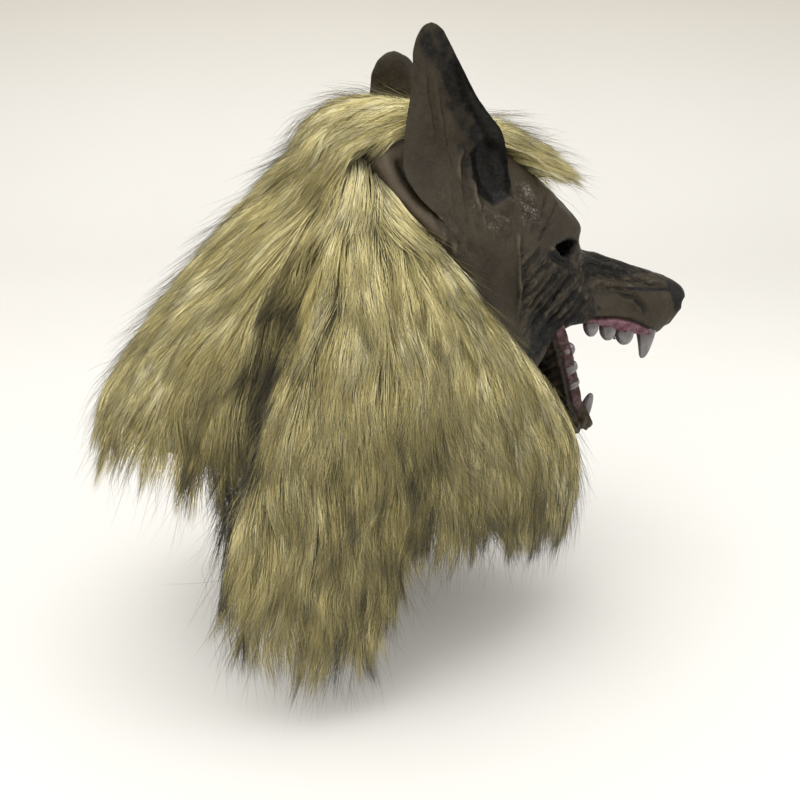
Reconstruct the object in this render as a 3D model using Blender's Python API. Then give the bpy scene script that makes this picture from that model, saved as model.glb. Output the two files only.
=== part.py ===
"""Latex wolf mask with a faux-fur mane, at rest, in metres. The face looks along -Y, +Z is up, the
wearer's right is -X. The origin is on the inside of the crown, where the mask bears on the head."""

import math

import bmesh
import bpy
import numpy as np
from mathutils import Vector
from mathutils.bvhtree import BVHTree

MM = 0.001

# driving dimensions, millimetres
LATEX = 3.0  # wall of the cast latex
FUR = 15.0  # lying depth of the pile and its backing
SEAM = 3.0  # gap between two fur panels at their sewn seam
EAR_GAP = 2.2  # clearance round an ear root
JAW_GAP = 7.0  # the soft corner of the mouth, between the face and jaw castings
HEAD_CLEAR = 1.5  # backing cloth off the latex
JAW_CLEAR = 4.5
JAW_PIVOT = (-90.0, -150.0)  # y, z of the line that the jaw bends about
MANE_PIVOT = (50.0, 6.0)  # y, z of the seam that the rear flap hangs from
EAR_PIVOT = (76.0, -66.0)  # |x|, z of the line that an ear bends about
UPPER_CANINE, LOWER_CANINE = 24.0, 17.0
CHEEK_TOOTH, INCISOR = 8.5, 7.0
BACK_HALF_ANGLE = 35.0  # half of the rear flap, degrees round the head from the back
BIB_FROM = 128.0  # the front panel starts here, degrees round the head from the back

for item in list(bpy.data.objects):
    bpy.data.objects.remove(item, do_unlink=True)


def material(name, colour, rough, coat=0.0):
    made = bpy.data.materials.new(name)
    made.use_nodes = True
    shader = made.node_tree.nodes["Principled BSDF"]
    shader.inputs["Base Color"].default_value = (*colour, 1)
    shader.inputs["Roughness"].default_value = rough
    shader.inputs["Coat Weight"].default_value = coat
    return made


LATEX_BROWN = material("latex_brown", (0.045, 0.030, 0.022), 0.42, 0.15)
GUM_PINK = material("gum_paint", (0.33, 0.05, 0.08), 0.3, 0.3)
TOOTH = material("tooth_resin", (0.62, 0.60, 0.55), 0.15, 0.6)
PILE = material("faux_fur", (0.42, 0.36, 0.16), 0.8)


def spline(points, count):
    """Points evenly along the smooth line through these points."""
    p = np.asarray(points, float)
    q = np.vstack([2 * p[0] - p[1], p, 2 * p[-1] - p[-2]])
    out = []
    for s in np.linspace(0, len(p) - 1, count):
        i = min(int(s), len(p) - 2)
        f = s - i
        a, b, c, d = q[i : i + 4]
        out.append(
            0.5
            * (
                2 * b
                + (c - a) * f
                + (2 * a - 5 * b + 4 * c - d) * f * f
                + (3 * b - a - 3 * c + d) * f**3
            )
        )
    return np.array(out)


def patch(net, rows, columns):
    """A smooth surface through a net of points, as rows x columns."""
    along = np.array([spline(line, columns) for line in net])
    return np.array([spline(along[:, j], rows) for j in range(columns)]).transpose(1, 0, 2)


def normals(grid):
    n = np.cross(np.gradient(grid, axis=0), np.gradient(grid, axis=1))
    return n / np.maximum(np.linalg.norm(n, axis=2, keepdims=True), 1e-9)


def outward(grid, middle):
    """Unit normals that point away from this middle point."""
    n = normals(grid)
    flip = ((grid - np.asarray(middle)) * n).sum(axis=(0, 1)).sum() < 0
    return -n if flip else n


def mesh_object(name, points, faces, paint, origin=(0, 0, 0)):
    mesh = bpy.data.meshes.new(name)
    at = np.asarray(origin, float)
    mesh.from_pydata([Vector((p - at) * MM) for p in points], [], faces)
    bm = bmesh.new()
    bm.from_mesh(mesh)
    bmesh.ops.remove_doubles(bm, verts=bm.verts, dist=0.00002)
    bmesh.ops.dissolve_degenerate(bm, edges=bm.edges, dist=0.00001)
    bmesh.ops.recalc_face_normals(bm, faces=bm.faces)
    bm.to_mesh(mesh)
    bm.free()
    mesh.materials.append(paint)
    thing = bpy.data.objects.new(name, mesh)
    thing.location = Vector(at * MM)
    bpy.context.scene.collection.objects.link(thing)
    return thing


def between(name, outer, inner, paint, origin=(0, 0, 0)):
    """The closed solid between two grids of the same size."""
    r, c = outer.shape[:2]
    points = np.vstack([outer.reshape(-1, 3), inner.reshape(-1, 3)])
    o = lambda i, j: i * c + j
    n = lambda i, j: r * c + i * c + j
    faces = []
    for i in range(r - 1):
        for j in range(c - 1):
            faces.append((o(i, j), o(i + 1, j), o(i + 1, j + 1), o(i, j + 1)))
            faces.append((n(i, j), n(i, j + 1), n(i + 1, j + 1), n(i + 1, j)))
    for i in range(r - 1):
        for j in (0, c - 1):
            faces.append((o(i, j), o(i + 1, j), n(i + 1, j), n(i, j)))
    for j in range(c - 1):
        for i in (0, r - 1):
            faces.append((o(i, j), o(i, j + 1), n(i, j + 1), n(i, j)))
    return mesh_object(name, points, faces, paint, origin)


def filled(name, grid, middle):
    """The solid between a grid and one point, used only to cut."""
    r, c = grid.shape[:2]
    points = np.vstack([grid.reshape(-1, 3), np.asarray(middle, float)[None]])
    k = r * c
    o = lambda i, j: i * c + j
    faces = [
        (o(i, j), o(i + 1, j), o(i + 1, j + 1), o(i, j + 1))
        for i in range(r - 1)
        for j in range(c - 1)
    ]
    faces += [(o(i, j), o(i + 1, j), k) for i in range(r - 1) for j in (0, c - 1)]
    faces += [(o(i, j), o(i, j + 1), k) for j in range(c - 1) for i in (0, r - 1)]
    return cutter(mesh_object(name, points, faces, LATEX_BROWN))


def cutter(thing):
    thing.hide_render = True
    thing.display_type = "WIRE"
    return thing


def cut(thing, tool):
    change = thing.modifiers.new("cut_" + tool.name, "BOOLEAN")
    change.operation = "DIFFERENCE"
    change.solver = "EXACT"
    change.use_self = True
    change.object = tool


def smooth(thing, degrees=50):
    mesh = thing.data
    for polygon in mesh.polygons:
        polygon.use_smooth = True
    mesh.set_sharp_from_angle(angle=math.radians(degrees))


def both_sides(rows):
    """Rows listed from the middle line to the right edge, made to run from the right edge to the left one."""
    right = [[(-x, y, z) for x, y, z in row] for row in rows]
    return right[::-1] + [list(row) for row in rows[1:]]


# ---- the face casting: crown, brow, cheeks and snout, listed from the crown line to the lip ----
FACE = [
    [(0, 42, -2), (0, -10, 3), (0, -62, -11), (0, -108, -46), (0, -136, -74), (0, -141, -92), (0, -170, -103), (0, -205, -113), (0, -224, -128), (0, -213, -146)],
    [(28, 40, -5), (32, -8, -1), (30, -60, -17), (28, -104, -51), (26, -127, -73), (17, -141, -95), (13, -170, -106), (11, -204, -116), (9, -222, -130), (8, -211, -146)],
    [(56, 30, -20), (60, -5, -22), (54, -50, -35), (45, -92, -58), (38, -114, -80), (27, -138, -104), (23, -168, -113), (18, -202, -122), (14, -218, -132), (12, -208, -147)],
    [(76, 4, -56), (79, -14, -57), (73, -45, -62), (61, -76, -78), (48, -104, -96), (36, -134, -115), (29, -164, -123), (22, -197, -129), (16, -214, -136), (14, -205, -147)],
    [(84, -20, -88), (83, -32, -89), (77, -50, -94), (66, -74, -106), (53, -100, -116), (41, -130, -127), (34, -160, -132), (25, -190, -136), (18, -208, -140), (15, -202, -148)],
    [(80, -46, -122), (77, -54, -122), (69, -65, -122), (59, -80, -127), (49, -99, -133), (41, -126, -137), (34, -154, -139), (26, -184, -142), (18, -203, -145), (15, -200, -149)],
    [(66, -80, -157), (62, -83, -155), (56, -87, -153), (49, -93, -150), (43, -99, -147), (39, -122, -145), (34, -148, -144), (26, -178, -146), (18, -197, -148), (15, -198, -150)],
]
MIDDLE = (0, -60, -110)
face_outer = patch(both_sides(FACE), 25, 25)
face_normals = outward(face_outer, MIDDLE)
face = between("latex_face", face_outer, face_outer - LATEX * face_normals, LATEX_BROWN)
head_fill = filled("head_fill", face_outer + HEAD_CLEAR * face_normals, (0, -40, -120))
ear_fill = filled("ear_fill", face_outer + EAR_GAP * face_normals, (0, -40, -120))

# eye holes: a leaning three-cornered slot under each brow
for side, way in (("right", -1), ("left", 1)):
    corners = [(29, -80), (38, -74.5), (50, -77), (51, -83), (42, -88.5), (32, -87)]
    points = [(way * x, y, z) for y in (-150, -84) for x, z in corners]
    k = len(corners)
    faces = [tuple(range(k)), tuple(range(k, 2 * k))]
    faces += [(i, (i + 1) % k, k + (i + 1) % k, k + i) for i in range(k)]
    cut(face, cutter(mesh_object("eye_slot_" + side, np.array(points, float), faces, LATEX_BROWN)))

# ---- the jaw casting: a trough that hangs open from the corners of the mouth to the chin ----
ALONG = np.array([0, -0.4392, -0.8984])  # mouth corner to chin
DEEP = np.array([0, 0.8984, -0.4392])  # away from the mouth
CORNER = np.array([0, -99.0, -149.0])
JAW = [  # along, half width, depth
    (JAW_GAP, 44.5, 36), (24, 42, 34), (46, 36, 28), (68, 30, 22), (86, 24, 18), (98, 17, 17), (105, 10, 14.5),
]


def jaw_grid(grow=0.0, sides=13):
    rows = []
    for along, half, deep in JAW:
        half, deep = half + grow, deep + grow
        base = CORNER + along * ALONG
        section = []
        for k in range(sides):
            a = math.pi * k / (sides - 1)
            wide = -math.cos(a)
            low = math.sin(a) ** 0.7
            section.append(base + np.array([wide * half, 0, 0]) + (low * deep - 3 - grow * 0.5) * DEEP)
        rows.append(section)
    return np.array(rows)


jaw_outer = patch(jaw_grid(), 17, 17)
jaw_middle = CORNER + 50 * ALONG
jaw_normals = outward(jaw_outer, jaw_middle)
jaw_pivot = (0, *JAW_PIVOT)
jaw_inner = jaw_outer - LATEX * jaw_normals
r_last = jaw_outer[-1].mean(axis=0)
jaw = between("latex_jaw", jaw_outer, jaw_inner, LATEX_BROWN, jaw_pivot)

# the chin: a rounded end closing the trough
chin = []
chin_in = []
for k, (reach, shrink) in enumerate(((0, 1.0), (3.2, 0.86), (5.2, 0.6), (6.0, 0.22))):
    section = jaw_outer[-1]
    middle = section.mean(axis=0)
    chin.append(middle + (section - middle) * shrink + reach * ALONG)
chin_outer = np.array(chin)
grids = np.concatenate([jaw_outer, chin_outer[1:]])
n_all = outward(grids, jaw_middle)
bpy.data.objects.remove(jaw, do_unlink=True)
jaw = between("latex_jaw", grids, grids - LATEX * n_all, LATEX_BROWN, jaw_pivot)


def turned(grid, degrees, pivot):
    """A grid turned about the X line through this pivot; a positive angle drops the front."""
    a = math.radians(degrees)
    y, z = grid[..., 1] - pivot[0], grid[..., 2] - pivot[1]
    return np.stack(
        [grid[..., 0], pivot[0] + y * math.cos(a) - z * math.sin(a), pivot[1] + y * math.sin(a) + z * math.cos(a)],
        axis=-1,
    )


jaw_grown = np.concatenate([jaw_grid(JAW_CLEAR, 13)])
jaw_sweeps = []
for number, angle in enumerate((4.0, 0.0)):
    swept = turned(jaw_grown, angle, JAW_PIVOT)
    last = swept[-1] + 12 * ALONG
    swept = np.concatenate([swept, (last.mean(axis=0) + (last - last.mean(axis=0)) * 0.6)[None]])
    jaw_sweeps.append(filled(f"jaw_fill_{number}", swept, jaw_middle + 4 * np.array([0, -1, 0])))

# ---- gums: the pink roof and floor of the mouth, which carry the teeth ----
ROOF = [(-104, 38.5), (-120, 35.0), (-140, 31.5), (-160, 26.5), (-178, 21.5), (-190, 16.0), (-197, 8.0)]


def slab(name, outline, lift, thick, origin, bow):
    """A plate between mirrored outlines; outline gives (point on the middle line, half width)."""
    top, low = [], []
    for point, half in outline:
        row_top, row_low = [], []
        for s in np.linspace(-1, 1, 9):
            rise = bow * (1 - s * s)
            row_top.append(np.array([s * half, 0, 0]) + point + (rise + thick) * lift)
            row_low.append(np.array([s * half, 0, 0]) + point + rise * lift)
        top.append(row_top)
        low.append(row_low)
    return between(name, np.array(top), np.array(low), GUM_PINK, origin)


roof = slab(
    "upper_gum",
    [(np.array([0, y, -145.5 - 0.02 * (y + 150)]), half) for y, half in ROOF],
    np.array([0, 0, 1.0]),
    4.0,
    (0, 0, 0),
    4.0,
)
FLOOR = [(JAW_GAP + 2, 38.0), (28, 35.5), (48, 29.5), (68, 22.8), (84, 16.0), (94, 10.0), (98, 6.0)]
floor_piece = slab(
    "lower_gum",
    [(CORNER + along * ALONG + 4.5 * DEEP, half) for along, half in FLOOR],
    DEEP,
    3.0,
    jaw_pivot,
    2.5,
)


# ---- teeth ----
def tooth(name, root, way, length, wide, deep, lean, origin):
    """A tapered, slightly curved tooth. way is the direction of growth, lean bends its tip."""
    way = np.asarray(way, float) / np.linalg.norm(way)
    lean = np.asarray(lean, float)
    side = np.cross(way, (1, 0, 0)) if abs(way[0]) < 0.9 else np.cross(way, (0, 1, 0))
    side /= np.linalg.norm(side)
    other = np.cross(way, side)
    rings = []
    for t, taper in ((0, 1.0), (0.35, 0.92), (0.7, 0.62), (0.93, 0.26)):
        middle = np.asarray(root, float) + way * length * t + lean * t * t
        rings.append(
            [
                middle + taper * (side * deep / 2 * math.cos(a) + other * wide / 2 * math.sin(a))
                for a in np.linspace(0, 2 * math.pi, 9)[:-1]
            ]
        )
    tip = np.asarray(root, float) + way * length + lean
    points = np.vstack([np.array(rings).reshape(-1, 3), tip[None]])
    faces = [tuple(range(8))]
    for k in range(3):
        faces += [(8 * k + i, 8 * k + (i + 1) % 8, 8 * k + 8 + (i + 1) % 8, 8 * k + 8 + i) for i in range(8)]
    faces += [(24 + i, 24 + (i + 1) % 8, 32) for i in range(8)]
    smooth(mesh_object(name, points, faces, TOOTH, origin))


UNDER_ROOF = 0.35  # glue line between a tooth and its gum
for side, way in (("right", -1), ("left", 1)):
    def upper(y):
        half = np.interp(-y, [-p[0] for p in ROOF], [p[1] for p in ROOF])
        return half, -145.5 - 0.02 * (y + 150) - UNDER_ROOF

    half, z = upper(-178)
    tooth(f"upper_canine_{side}", (way * (half - 5.5), -178, z), (way * 0.10, -0.12, -1), UPPER_CANINE, 8, 10, (0, 4, 0), (0, 0, 0))
    for k, y in enumerate((-120, -139, -157)):
        half, z = upper(y)
        tooth(f"upper_cheek_tooth_{side}_{k + 1}", (way * (half - 5.5), y, z), (way * 0.12, 0, -1), CHEEK_TOOTH - 0.6 * (k == 0), 8, 11, (0, 1, 0), (0, 0, 0))
    for k, (x, y) in enumerate(((2.9, -193.5), (8.1, -190.5), (12.0, -187.6))):
        z = -145.5 - 0.02 * (y + 150) - UNDER_ROOF
        tooth(f"upper_incisor_{side}_{k + 1}", (way * x, y, z), (0, -0.15, -1), INCISOR + 0.8 * k, 4.2, 4.6, (0, 0.8, 0), (0, 0, 0))

    def lower(along):
        half = np.interp(along, [p[0] for p in FLOOR], [p[1] for p in FLOOR])
        return half, CORNER + along * ALONG + (4.5 - UNDER_ROOF) * DEEP

    half, base = lower(83)
    tooth(f"lower_canine_{side}", base + np.array([way * (half - 4.8), 0, 0]), (way * 0.16, -0.8984, 0.52), LOWER_CANINE, 7.5, 8.5, 3 * -ALONG, jaw_pivot)
    for k, along in enumerate((24, 42, 60)):
        half, base = lower(along)
        tooth(f"lower_cheek_tooth_{side}_{k + 1}", base + np.array([way * (half - 5.0), 0, 0]), (way * 0.1, -0.8984, 0.44), CHEEK_TOOTH, 7.5, 11, (0, 0, 0), jaw_pivot)
    for k, (x, along) in enumerate(((2.6, 96.0), (7.2, 92.5))):
        base = CORNER + along * ALONG + (4.5 - UNDER_ROOF) * DEEP
        tooth(f"lower_incisor_{side}_{k + 1}", base + np.array([way * x, 0, 0]), (0, -0.8984, 0.44), INCISOR - 1, 3.9, 3.9, (0, 0, 0), jaw_pivot)

# ---- ears: tall cupped leaves, open to the front ----
EAR = [  # height share, middle (|x|, y, z), half length fore and aft, half thickness, cup depth
    (-0.35, (65, -34, -72), 33, 15, 0),
    (0.0, (62, -27, -42), 38, 16.5, 7),
    (0.2, (59, -25, -22), 38, 15.5, 9),
    (0.42, (57, -22, 0), 32, 13, 8),
    (0.62, (56, -17, 20), 25, 10.5, 6),
    (0.8, (55.5, -11, 37), 16, 8, 4),
    (0.93, (55, -7, 47), 9, 5.5, 1.5),
    (0.99, (55, -5.5, 51), 4, 3, 0),
]


def ear_solid(name, way, more, around, paint, lift, origin=(0, 0, 0)):
    table = [row for row in EAR]
    rings = []
    for share, (x, y, z), long_, thick, cup in table:
        ring = []
        for k in range(around):
            a = 2 * math.pi * k / around
            fore, out = -math.cos(a), math.sin(a)
            px = x + (thick + more) * out * (1 - 0.25 * fore * fore)
            py = y + (long_ + more) * fore * -1
            if out > 0 and -fore < 0.2:
                px -= cup * max(0.0, math.sin(math.pi * min(1, max(0, (0.25 + fore) / 1.15)))) if more == 0 else 0
            tilt = 18.0 * (py - y) / long_ if share < 0 else 0.0
            ring.append((way * px, py, z + tilt + lift * max(share, 0)))
        rings.append(ring)
    rings = np.array(rings, float)
    n = len(rings)
    fine = np.array([spline(rings[:, k], 2 * n - 1) for k in range(around)]).transpose(1, 0, 2)
    rows = len(fine)
    points = fine.reshape(-1, 3)
    faces = [tuple(range(around)), tuple((rows - 1) * around + i for i in range(around))]
    for i in range(rows - 1):
        faces += [
            (i * around + k, i * around + (k + 1) % around, (i + 1) * around + (k + 1) % around, (i + 1) * around + k)
            for k in range(around)
        ]
    return mesh_object(name, points, faces, paint, origin)


ear_fills = {}
for side, way in (("right", -1), ("left", 1)):
    ear = ear_solid(f"ear_{side}", way, 0, 16, LATEX_BROWN, 0, (way * EAR_PIVOT[0], 0, EAR_PIVOT[1]))
    cut(ear, ear_fill)
    ear_fills[way] = cutter(ear_solid(f"ear_fill_{side}", way, 6, 12, LATEX_BROWN, 6))

# ---- the fur: crown with its forelock, and the mane all round, listed from the top edge to the hem ----
MANE = {
    0: [(0, 54, 2), (0, 106, -34), (0, 162, -92), (0, 205, -150), (0, 222, -222)],
    18: [(-20, 53, -1), (-30, 101, -36), (-40, 150, -94), (-50, 186, -152), (-56, 203, -226)],
    34: [(-38, 48, -8), (-58, 82, -46), (-75, 110, -100), (-86, 126, -160), (-92, 136, -214)],
    50: [(-54, 38, -22), (-86, 62, -68), (-108, 88, -140), (-121, 114, -226), (-125, 140, -304)],
    75: [(-72, 24, -42), (-104, 32, -96), (-126, 44, -172), (-135, 58, -270), (-133, 76, -353)],
    100: [(-88, 0, -72), (-111, -4, -114), (-123, -2, -168), (-126, 4, -216), (-124, 8, -266)],
    125: [(-93, -26, -104), (-108, -38, -145), (-113, -46, -194), (-111, -52, -246), (-106, -52, -296)],
    145: [(-84, -58, -144), (-91, -74, -178), (-92, -85, -214), (-88, -93, -258), (-82, -98, -303)],
    160: [(-66, -88, -182), (-70, -100, -206), (-71, -110, -234), (-66, -120, -268), (-60, -126, -302)],
    172: [(-34, -126, -236), (-38, -132, -250), (-40, -136, -264), (-38, -142, -280), (-34, -147, -297)],
    180: [(0, -146, -262), (0, -148, -270), (0, -150, -277), (0, -152, -284), (0, -155, -291)],
}
ANGLES = sorted(MANE)
half_net = [MANE[a] for a in ANGLES]


def mane_line(degrees):
    """The five points of the outer surface at this angle round the head, taken smoothly from the table."""
    sign = -1 if degrees > 180 else 1
    a = 360 - degrees if degrees > 180 else degrees
    a = abs(a)
    if degrees < 0:
        sign = -1
    spot = np.interp(a, ANGLES, range(len(ANGLES)))
    net = np.array(half_net, float)
    mirrored = net.copy()
    mirrored[:, :, 0] *= -1
    whole = np.concatenate([mirrored[1:3][::-1], net, mirrored[-3:-1][::-1]])
    s = spot + 2
    i = min(int(s), len(whole) - 3)
    f = s - i
    A, B, C, D = whole[i - 1], whole[i], whole[i + 1], whole[min(i + 2, len(whole) - 1)]
    line = 0.5 * (2 * B + (C - A) * f + (2 * A - 5 * B + 4 * C - D) * f * f + (3 * B - A - 3 * C + D) * f**3)
    line[:, 0] *= sign
    return line


def tuft(degrees, row):
    """The hem hangs in tufts, longer and shorter by turns."""
    return 7.0 * math.sin(degrees * math.pi / 7.5) + 4.0 * math.sin(degrees * math.pi / 3.1 + 1)


def panel(name, start, end, columns, rows, middle, origin=(0, 0, 0), depth=FUR):
    lines = []
    for degrees in np.linspace(start, end, columns):
        line = spline(mane_line(degrees), rows)
        way = line[-1] - line[-2]
        line[-1] += way / np.linalg.norm(way) * tuft(degrees, rows)
        lines.append(line)
    grid = np.array(lines)
    n = outward(grid, middle)
    shrink = np.linspace(1.0, 0.55, rows)[None, :, None]
    inner = grid - n * depth * shrink
    if start < 0:
        return between(name, grid, inner, PILE, origin)
    return between(name, grid, inner, PILE, origin)


INSIDE = (0, 10, -150)
gap = 1.2  # degrees either side of a seam
flap_gap = 3.4  # the rear flap swings past its neighbours
mane_pivot = (0, *MANE_PIVOT)
back = panel("mane_back", -BACK_HALF_ANGLE + flap_gap, BACK_HALF_ANGLE - flap_gap, 13, 9, INSIDE, mane_pivot)
right = panel("mane_right", BACK_HALF_ANGLE + gap, BIB_FROM - gap, 15, 10, INSIDE)
left = panel("mane_left", -BIB_FROM + gap, -BACK_HALF_ANGLE - gap, 15, 10, INSIDE)
bib = panel("bib_fur", BIB_FROM + gap, 360 - BIB_FROM - gap, 21, 7, INSIDE, (0, 0, 0), 10.0)

CROWN = [
    [(0, -144, -62), (0, -130, -44), (0, -102, -20), (0, -74, -1), (0, -38, 13), (0, 7, 20), (0, 46, 15)],
    [(19, -137, -59), (21, -123, -44), (23, -98, -20), (24, -72, -4), (24, -38, 10), (24, 5, 18), (22, 44, 13)],
    [(31, -117, -52), (33, -106, -43), (34, -91, -29), (33, -71, -12), (33, -40, 3), (34, 0, 12), (32, 41, 9)],
]
crown_outer = patch(both_sides(CROWN), 11, 17)
for j, column in enumerate(crown_outer[:, 0]):
    column += 5.0 * math.sin(j * 2.2) * np.array([0, -0.6, -0.8])
crown_normals = outward(crown_outer, (0, -40, -80))


def tree_of(grid):
    r, c = grid.shape[:2]
    faces = [
        (i * c + j, (i + 1) * c + j, (i + 1) * c + j + 1, i * c + j + 1) for i in range(r - 1) for j in range(c - 1)
    ]
    return BVHTree.FromPolygons([Vector(p) for p in grid.reshape(-1, 3)], faces)


def down_to(grid, ways, depth, tree):
    """The inner side of a panel: this deep, or as far as the surface it lies on."""
    inner = grid.copy()
    for i in range(grid.shape[0]):
        for j in range(grid.shape[1]):
            hit = tree.ray_cast(Vector(grid[i, j]), Vector(-ways[i, j]), depth + 5)
            reach = depth if hit[3] is None else min(depth, hit[3] - 0.8)
            inner[i, j] = grid[i, j] - ways[i, j] * max(reach, 2.0)
    return inner


crown = between(
    "crown_fur",
    crown_outer,
    down_to(crown_outer, crown_normals, 11.0, tree_of(face_outer + HEAD_CLEAR * face_normals)),
    PILE,
)

for piece in (right, left, bib):
    cut(piece, head_fill)
for piece, way in ((right, -1), (left, 1)):
    cut(piece, ear_fills[way])
for sweep in jaw_sweeps:
    cut(bib, sweep)

for thing in (face, jaw, roof, floor_piece):
    smooth(thing)
for thing in (crown, back, right, left, bib):
    smooth(thing, 60)
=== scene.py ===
"""Latex wolf mask with a faux-fur mane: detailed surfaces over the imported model. Lengths in the tables are
millimetres; the mask looks along -Y, +Z is up, and the origin is on the inside of the crown."""

import math

import bmesh
import bpy
import numpy as np
from mathutils import Matrix, Vector, kdtree
from mathutils.bvhtree import BVHTree


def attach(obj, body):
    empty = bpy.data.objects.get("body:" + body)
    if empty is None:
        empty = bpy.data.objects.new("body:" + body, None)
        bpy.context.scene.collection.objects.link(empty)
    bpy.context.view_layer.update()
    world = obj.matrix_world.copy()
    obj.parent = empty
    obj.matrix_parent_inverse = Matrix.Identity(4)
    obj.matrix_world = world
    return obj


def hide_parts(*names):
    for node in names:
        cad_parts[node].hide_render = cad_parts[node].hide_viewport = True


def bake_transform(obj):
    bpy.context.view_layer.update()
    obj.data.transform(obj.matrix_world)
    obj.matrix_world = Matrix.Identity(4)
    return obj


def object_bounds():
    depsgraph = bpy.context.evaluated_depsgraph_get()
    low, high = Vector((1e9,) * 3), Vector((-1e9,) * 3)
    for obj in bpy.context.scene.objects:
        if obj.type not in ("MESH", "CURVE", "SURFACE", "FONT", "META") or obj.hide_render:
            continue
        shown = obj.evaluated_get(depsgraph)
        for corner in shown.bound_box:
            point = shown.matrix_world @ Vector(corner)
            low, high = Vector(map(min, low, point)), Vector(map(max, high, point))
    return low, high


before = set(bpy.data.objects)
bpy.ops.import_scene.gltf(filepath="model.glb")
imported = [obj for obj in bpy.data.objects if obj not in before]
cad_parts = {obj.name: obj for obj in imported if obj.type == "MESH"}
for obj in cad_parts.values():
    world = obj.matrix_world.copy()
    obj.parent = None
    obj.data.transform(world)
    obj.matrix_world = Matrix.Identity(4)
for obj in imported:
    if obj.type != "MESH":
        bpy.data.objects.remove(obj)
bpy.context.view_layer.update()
MM = 0.001
UNIT = 1000.0


# ------------------------------------------------------------------ camera, floor and light
def camera_at(aim, bearing, elevation, distance, lens):
    """A camera that looks at a point from this bearing round the mask, in degrees, and this far above the horizon."""
    turn, tilt = math.radians(bearing), math.radians(elevation)
    level = Vector((math.cos(turn), math.sin(turn), 0))
    way = level * math.cos(tilt) - Vector((0, 0, math.sin(tilt)))
    right = level.cross(Vector((0, 0, 1)))
    up = right.cross(way)
    data = bpy.data.cameras.new("studio_camera")
    data.lens, data.sensor_width = lens, 36.0
    data.clip_start, data.clip_end = 0.02, 30
    camera = bpy.data.objects.new("studio_camera", data)
    camera.matrix_world = Matrix.Translation(Vector(aim) - way * distance) @ Matrix(
        ((right.x, up.x, -way.x, 0), (right.y, up.y, -way.y, 0), (right.z, up.z, -way.z, 0), (0, 0, 0, 1))
    )
    bpy.context.scene.collection.objects.link(camera)
    bpy.context.scene.camera = camera


camera_at(aim=(0, 0, -0.200), bearing=-12.0, elevation=21.1, distance=0.675, lens=40.5)


# ------------------------------------------------------------------ shader building blocks
def group(name, inputs, outputs):
    """An empty shader node group with these sockets; returns it with its input and output nodes."""
    made = bpy.data.node_groups.new(name, "ShaderNodeTree")
    for label, kind, value in inputs:
        socket = made.interface.new_socket(label, in_out="INPUT", socket_type=kind)
        if value is not None:
            socket.default_value = value
    for label, kind in outputs:
        made.interface.new_socket(label, in_out="OUTPUT", socket_type=kind)
    return made, made.nodes.new("NodeGroupInput"), made.nodes.new("NodeGroupOutput")


def add(tree, kind, **settings):
    node = tree.nodes.new(kind)
    for key, value in settings.items():
        setattr(node, key, value)
    return node


def settle(node, **values):
    """Sets the node's input values; an underscore stands for a space in a socket's name."""
    for label, value in values.items():
        node.inputs[label.replace("_", " ")].default_value = value


def join(tree, *pairs):
    for a, b in pairs:
        tree.links.new(a, b)


def number(tree, operation, a, b=None, clamp=False):
    node = add(tree, "ShaderNodeMath", operation=operation, use_clamp=clamp)
    for slot, value in enumerate((a, b)):
        if value is None:
            continue
        if isinstance(value, (int, float)):
            node.inputs[slot].default_value = value
        else:
            tree.links.new(value, node.inputs[slot])
    return node.outputs[0]


def times(tree, a, b):
    return number(tree, "MULTIPLY", a, b)


def plus(tree, a, b):
    return number(tree, "ADD", a, b)


def less(tree, a, b):
    return number(tree, "SUBTRACT", a, b)


def span(tree, value, low, high, to_low=0.0, to_high=1.0):
    """value carried from low..high to to_low..to_high, smoothly and clamped."""
    node = add(tree, "ShaderNodeMapRange", interpolation_type="SMOOTHSTEP")
    tree.links.new(value, node.inputs["Value"])
    for label, amount in (("From Min", low), ("From Max", high), ("To Min", to_low), ("To Max", to_high)):
        if isinstance(amount, (int, float)):
            node.inputs[label].default_value = amount
        else:
            tree.links.new(amount, node.inputs[label])
    return node.outputs[0]


def blend_colour(tree, share, a, b, mode="MIX"):
    node = add(tree, "ShaderNodeMix", data_type="RGBA", blend_type=mode)
    for slot, value in ((0, share), (6, a), (7, b)):
        if isinstance(value, (int, float)):
            node.inputs[slot].default_value = value
        elif isinstance(value, tuple):
            node.inputs[slot].default_value = (*value, 1)
        else:
            tree.links.new(value, node.inputs[slot])
    return node.outputs[2]


def noise_of(tree, vector, scale, detail=4.0, rough=0.55, distort=0.0):
    node = add(tree, "ShaderNodeTexNoise")
    settle(node, Scale=scale, Detail=detail, Roughness=rough, Distortion=distort)
    tree.links.new(vector, node.inputs["Vector"])
    return node.outputs["Fac"]


def make_mottle():
    """Soft blotches and a finer speckle over them."""
    tree, inside, out = group(
        "mottle",
        [
            ("Vector", "NodeSocketVector", None), ("Blotch", "NodeSocketFloat", 40.0),
            ("Speckle", "NodeSocketFloat", 300.0)
        ],
        [("Blotches", "NodeSocketFloat"), ("Speckles", "NodeSocketFloat")],
    )
    for label, source, detail in (("Blotches", "Blotch", 5.0), ("Speckles", "Speckle", 2.0)):
        node = add(tree, "ShaderNodeTexNoise")
        node.inputs["Detail"].default_value = detail
        join(
            tree, (inside.outputs["Vector"], node.inputs["Vector"]), (inside.outputs[source], node.inputs["Scale"])
        )
        tree.links.new(span(tree, node.outputs["Fac"], 0.32, 0.68), out.inputs[label])
    return tree


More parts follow.
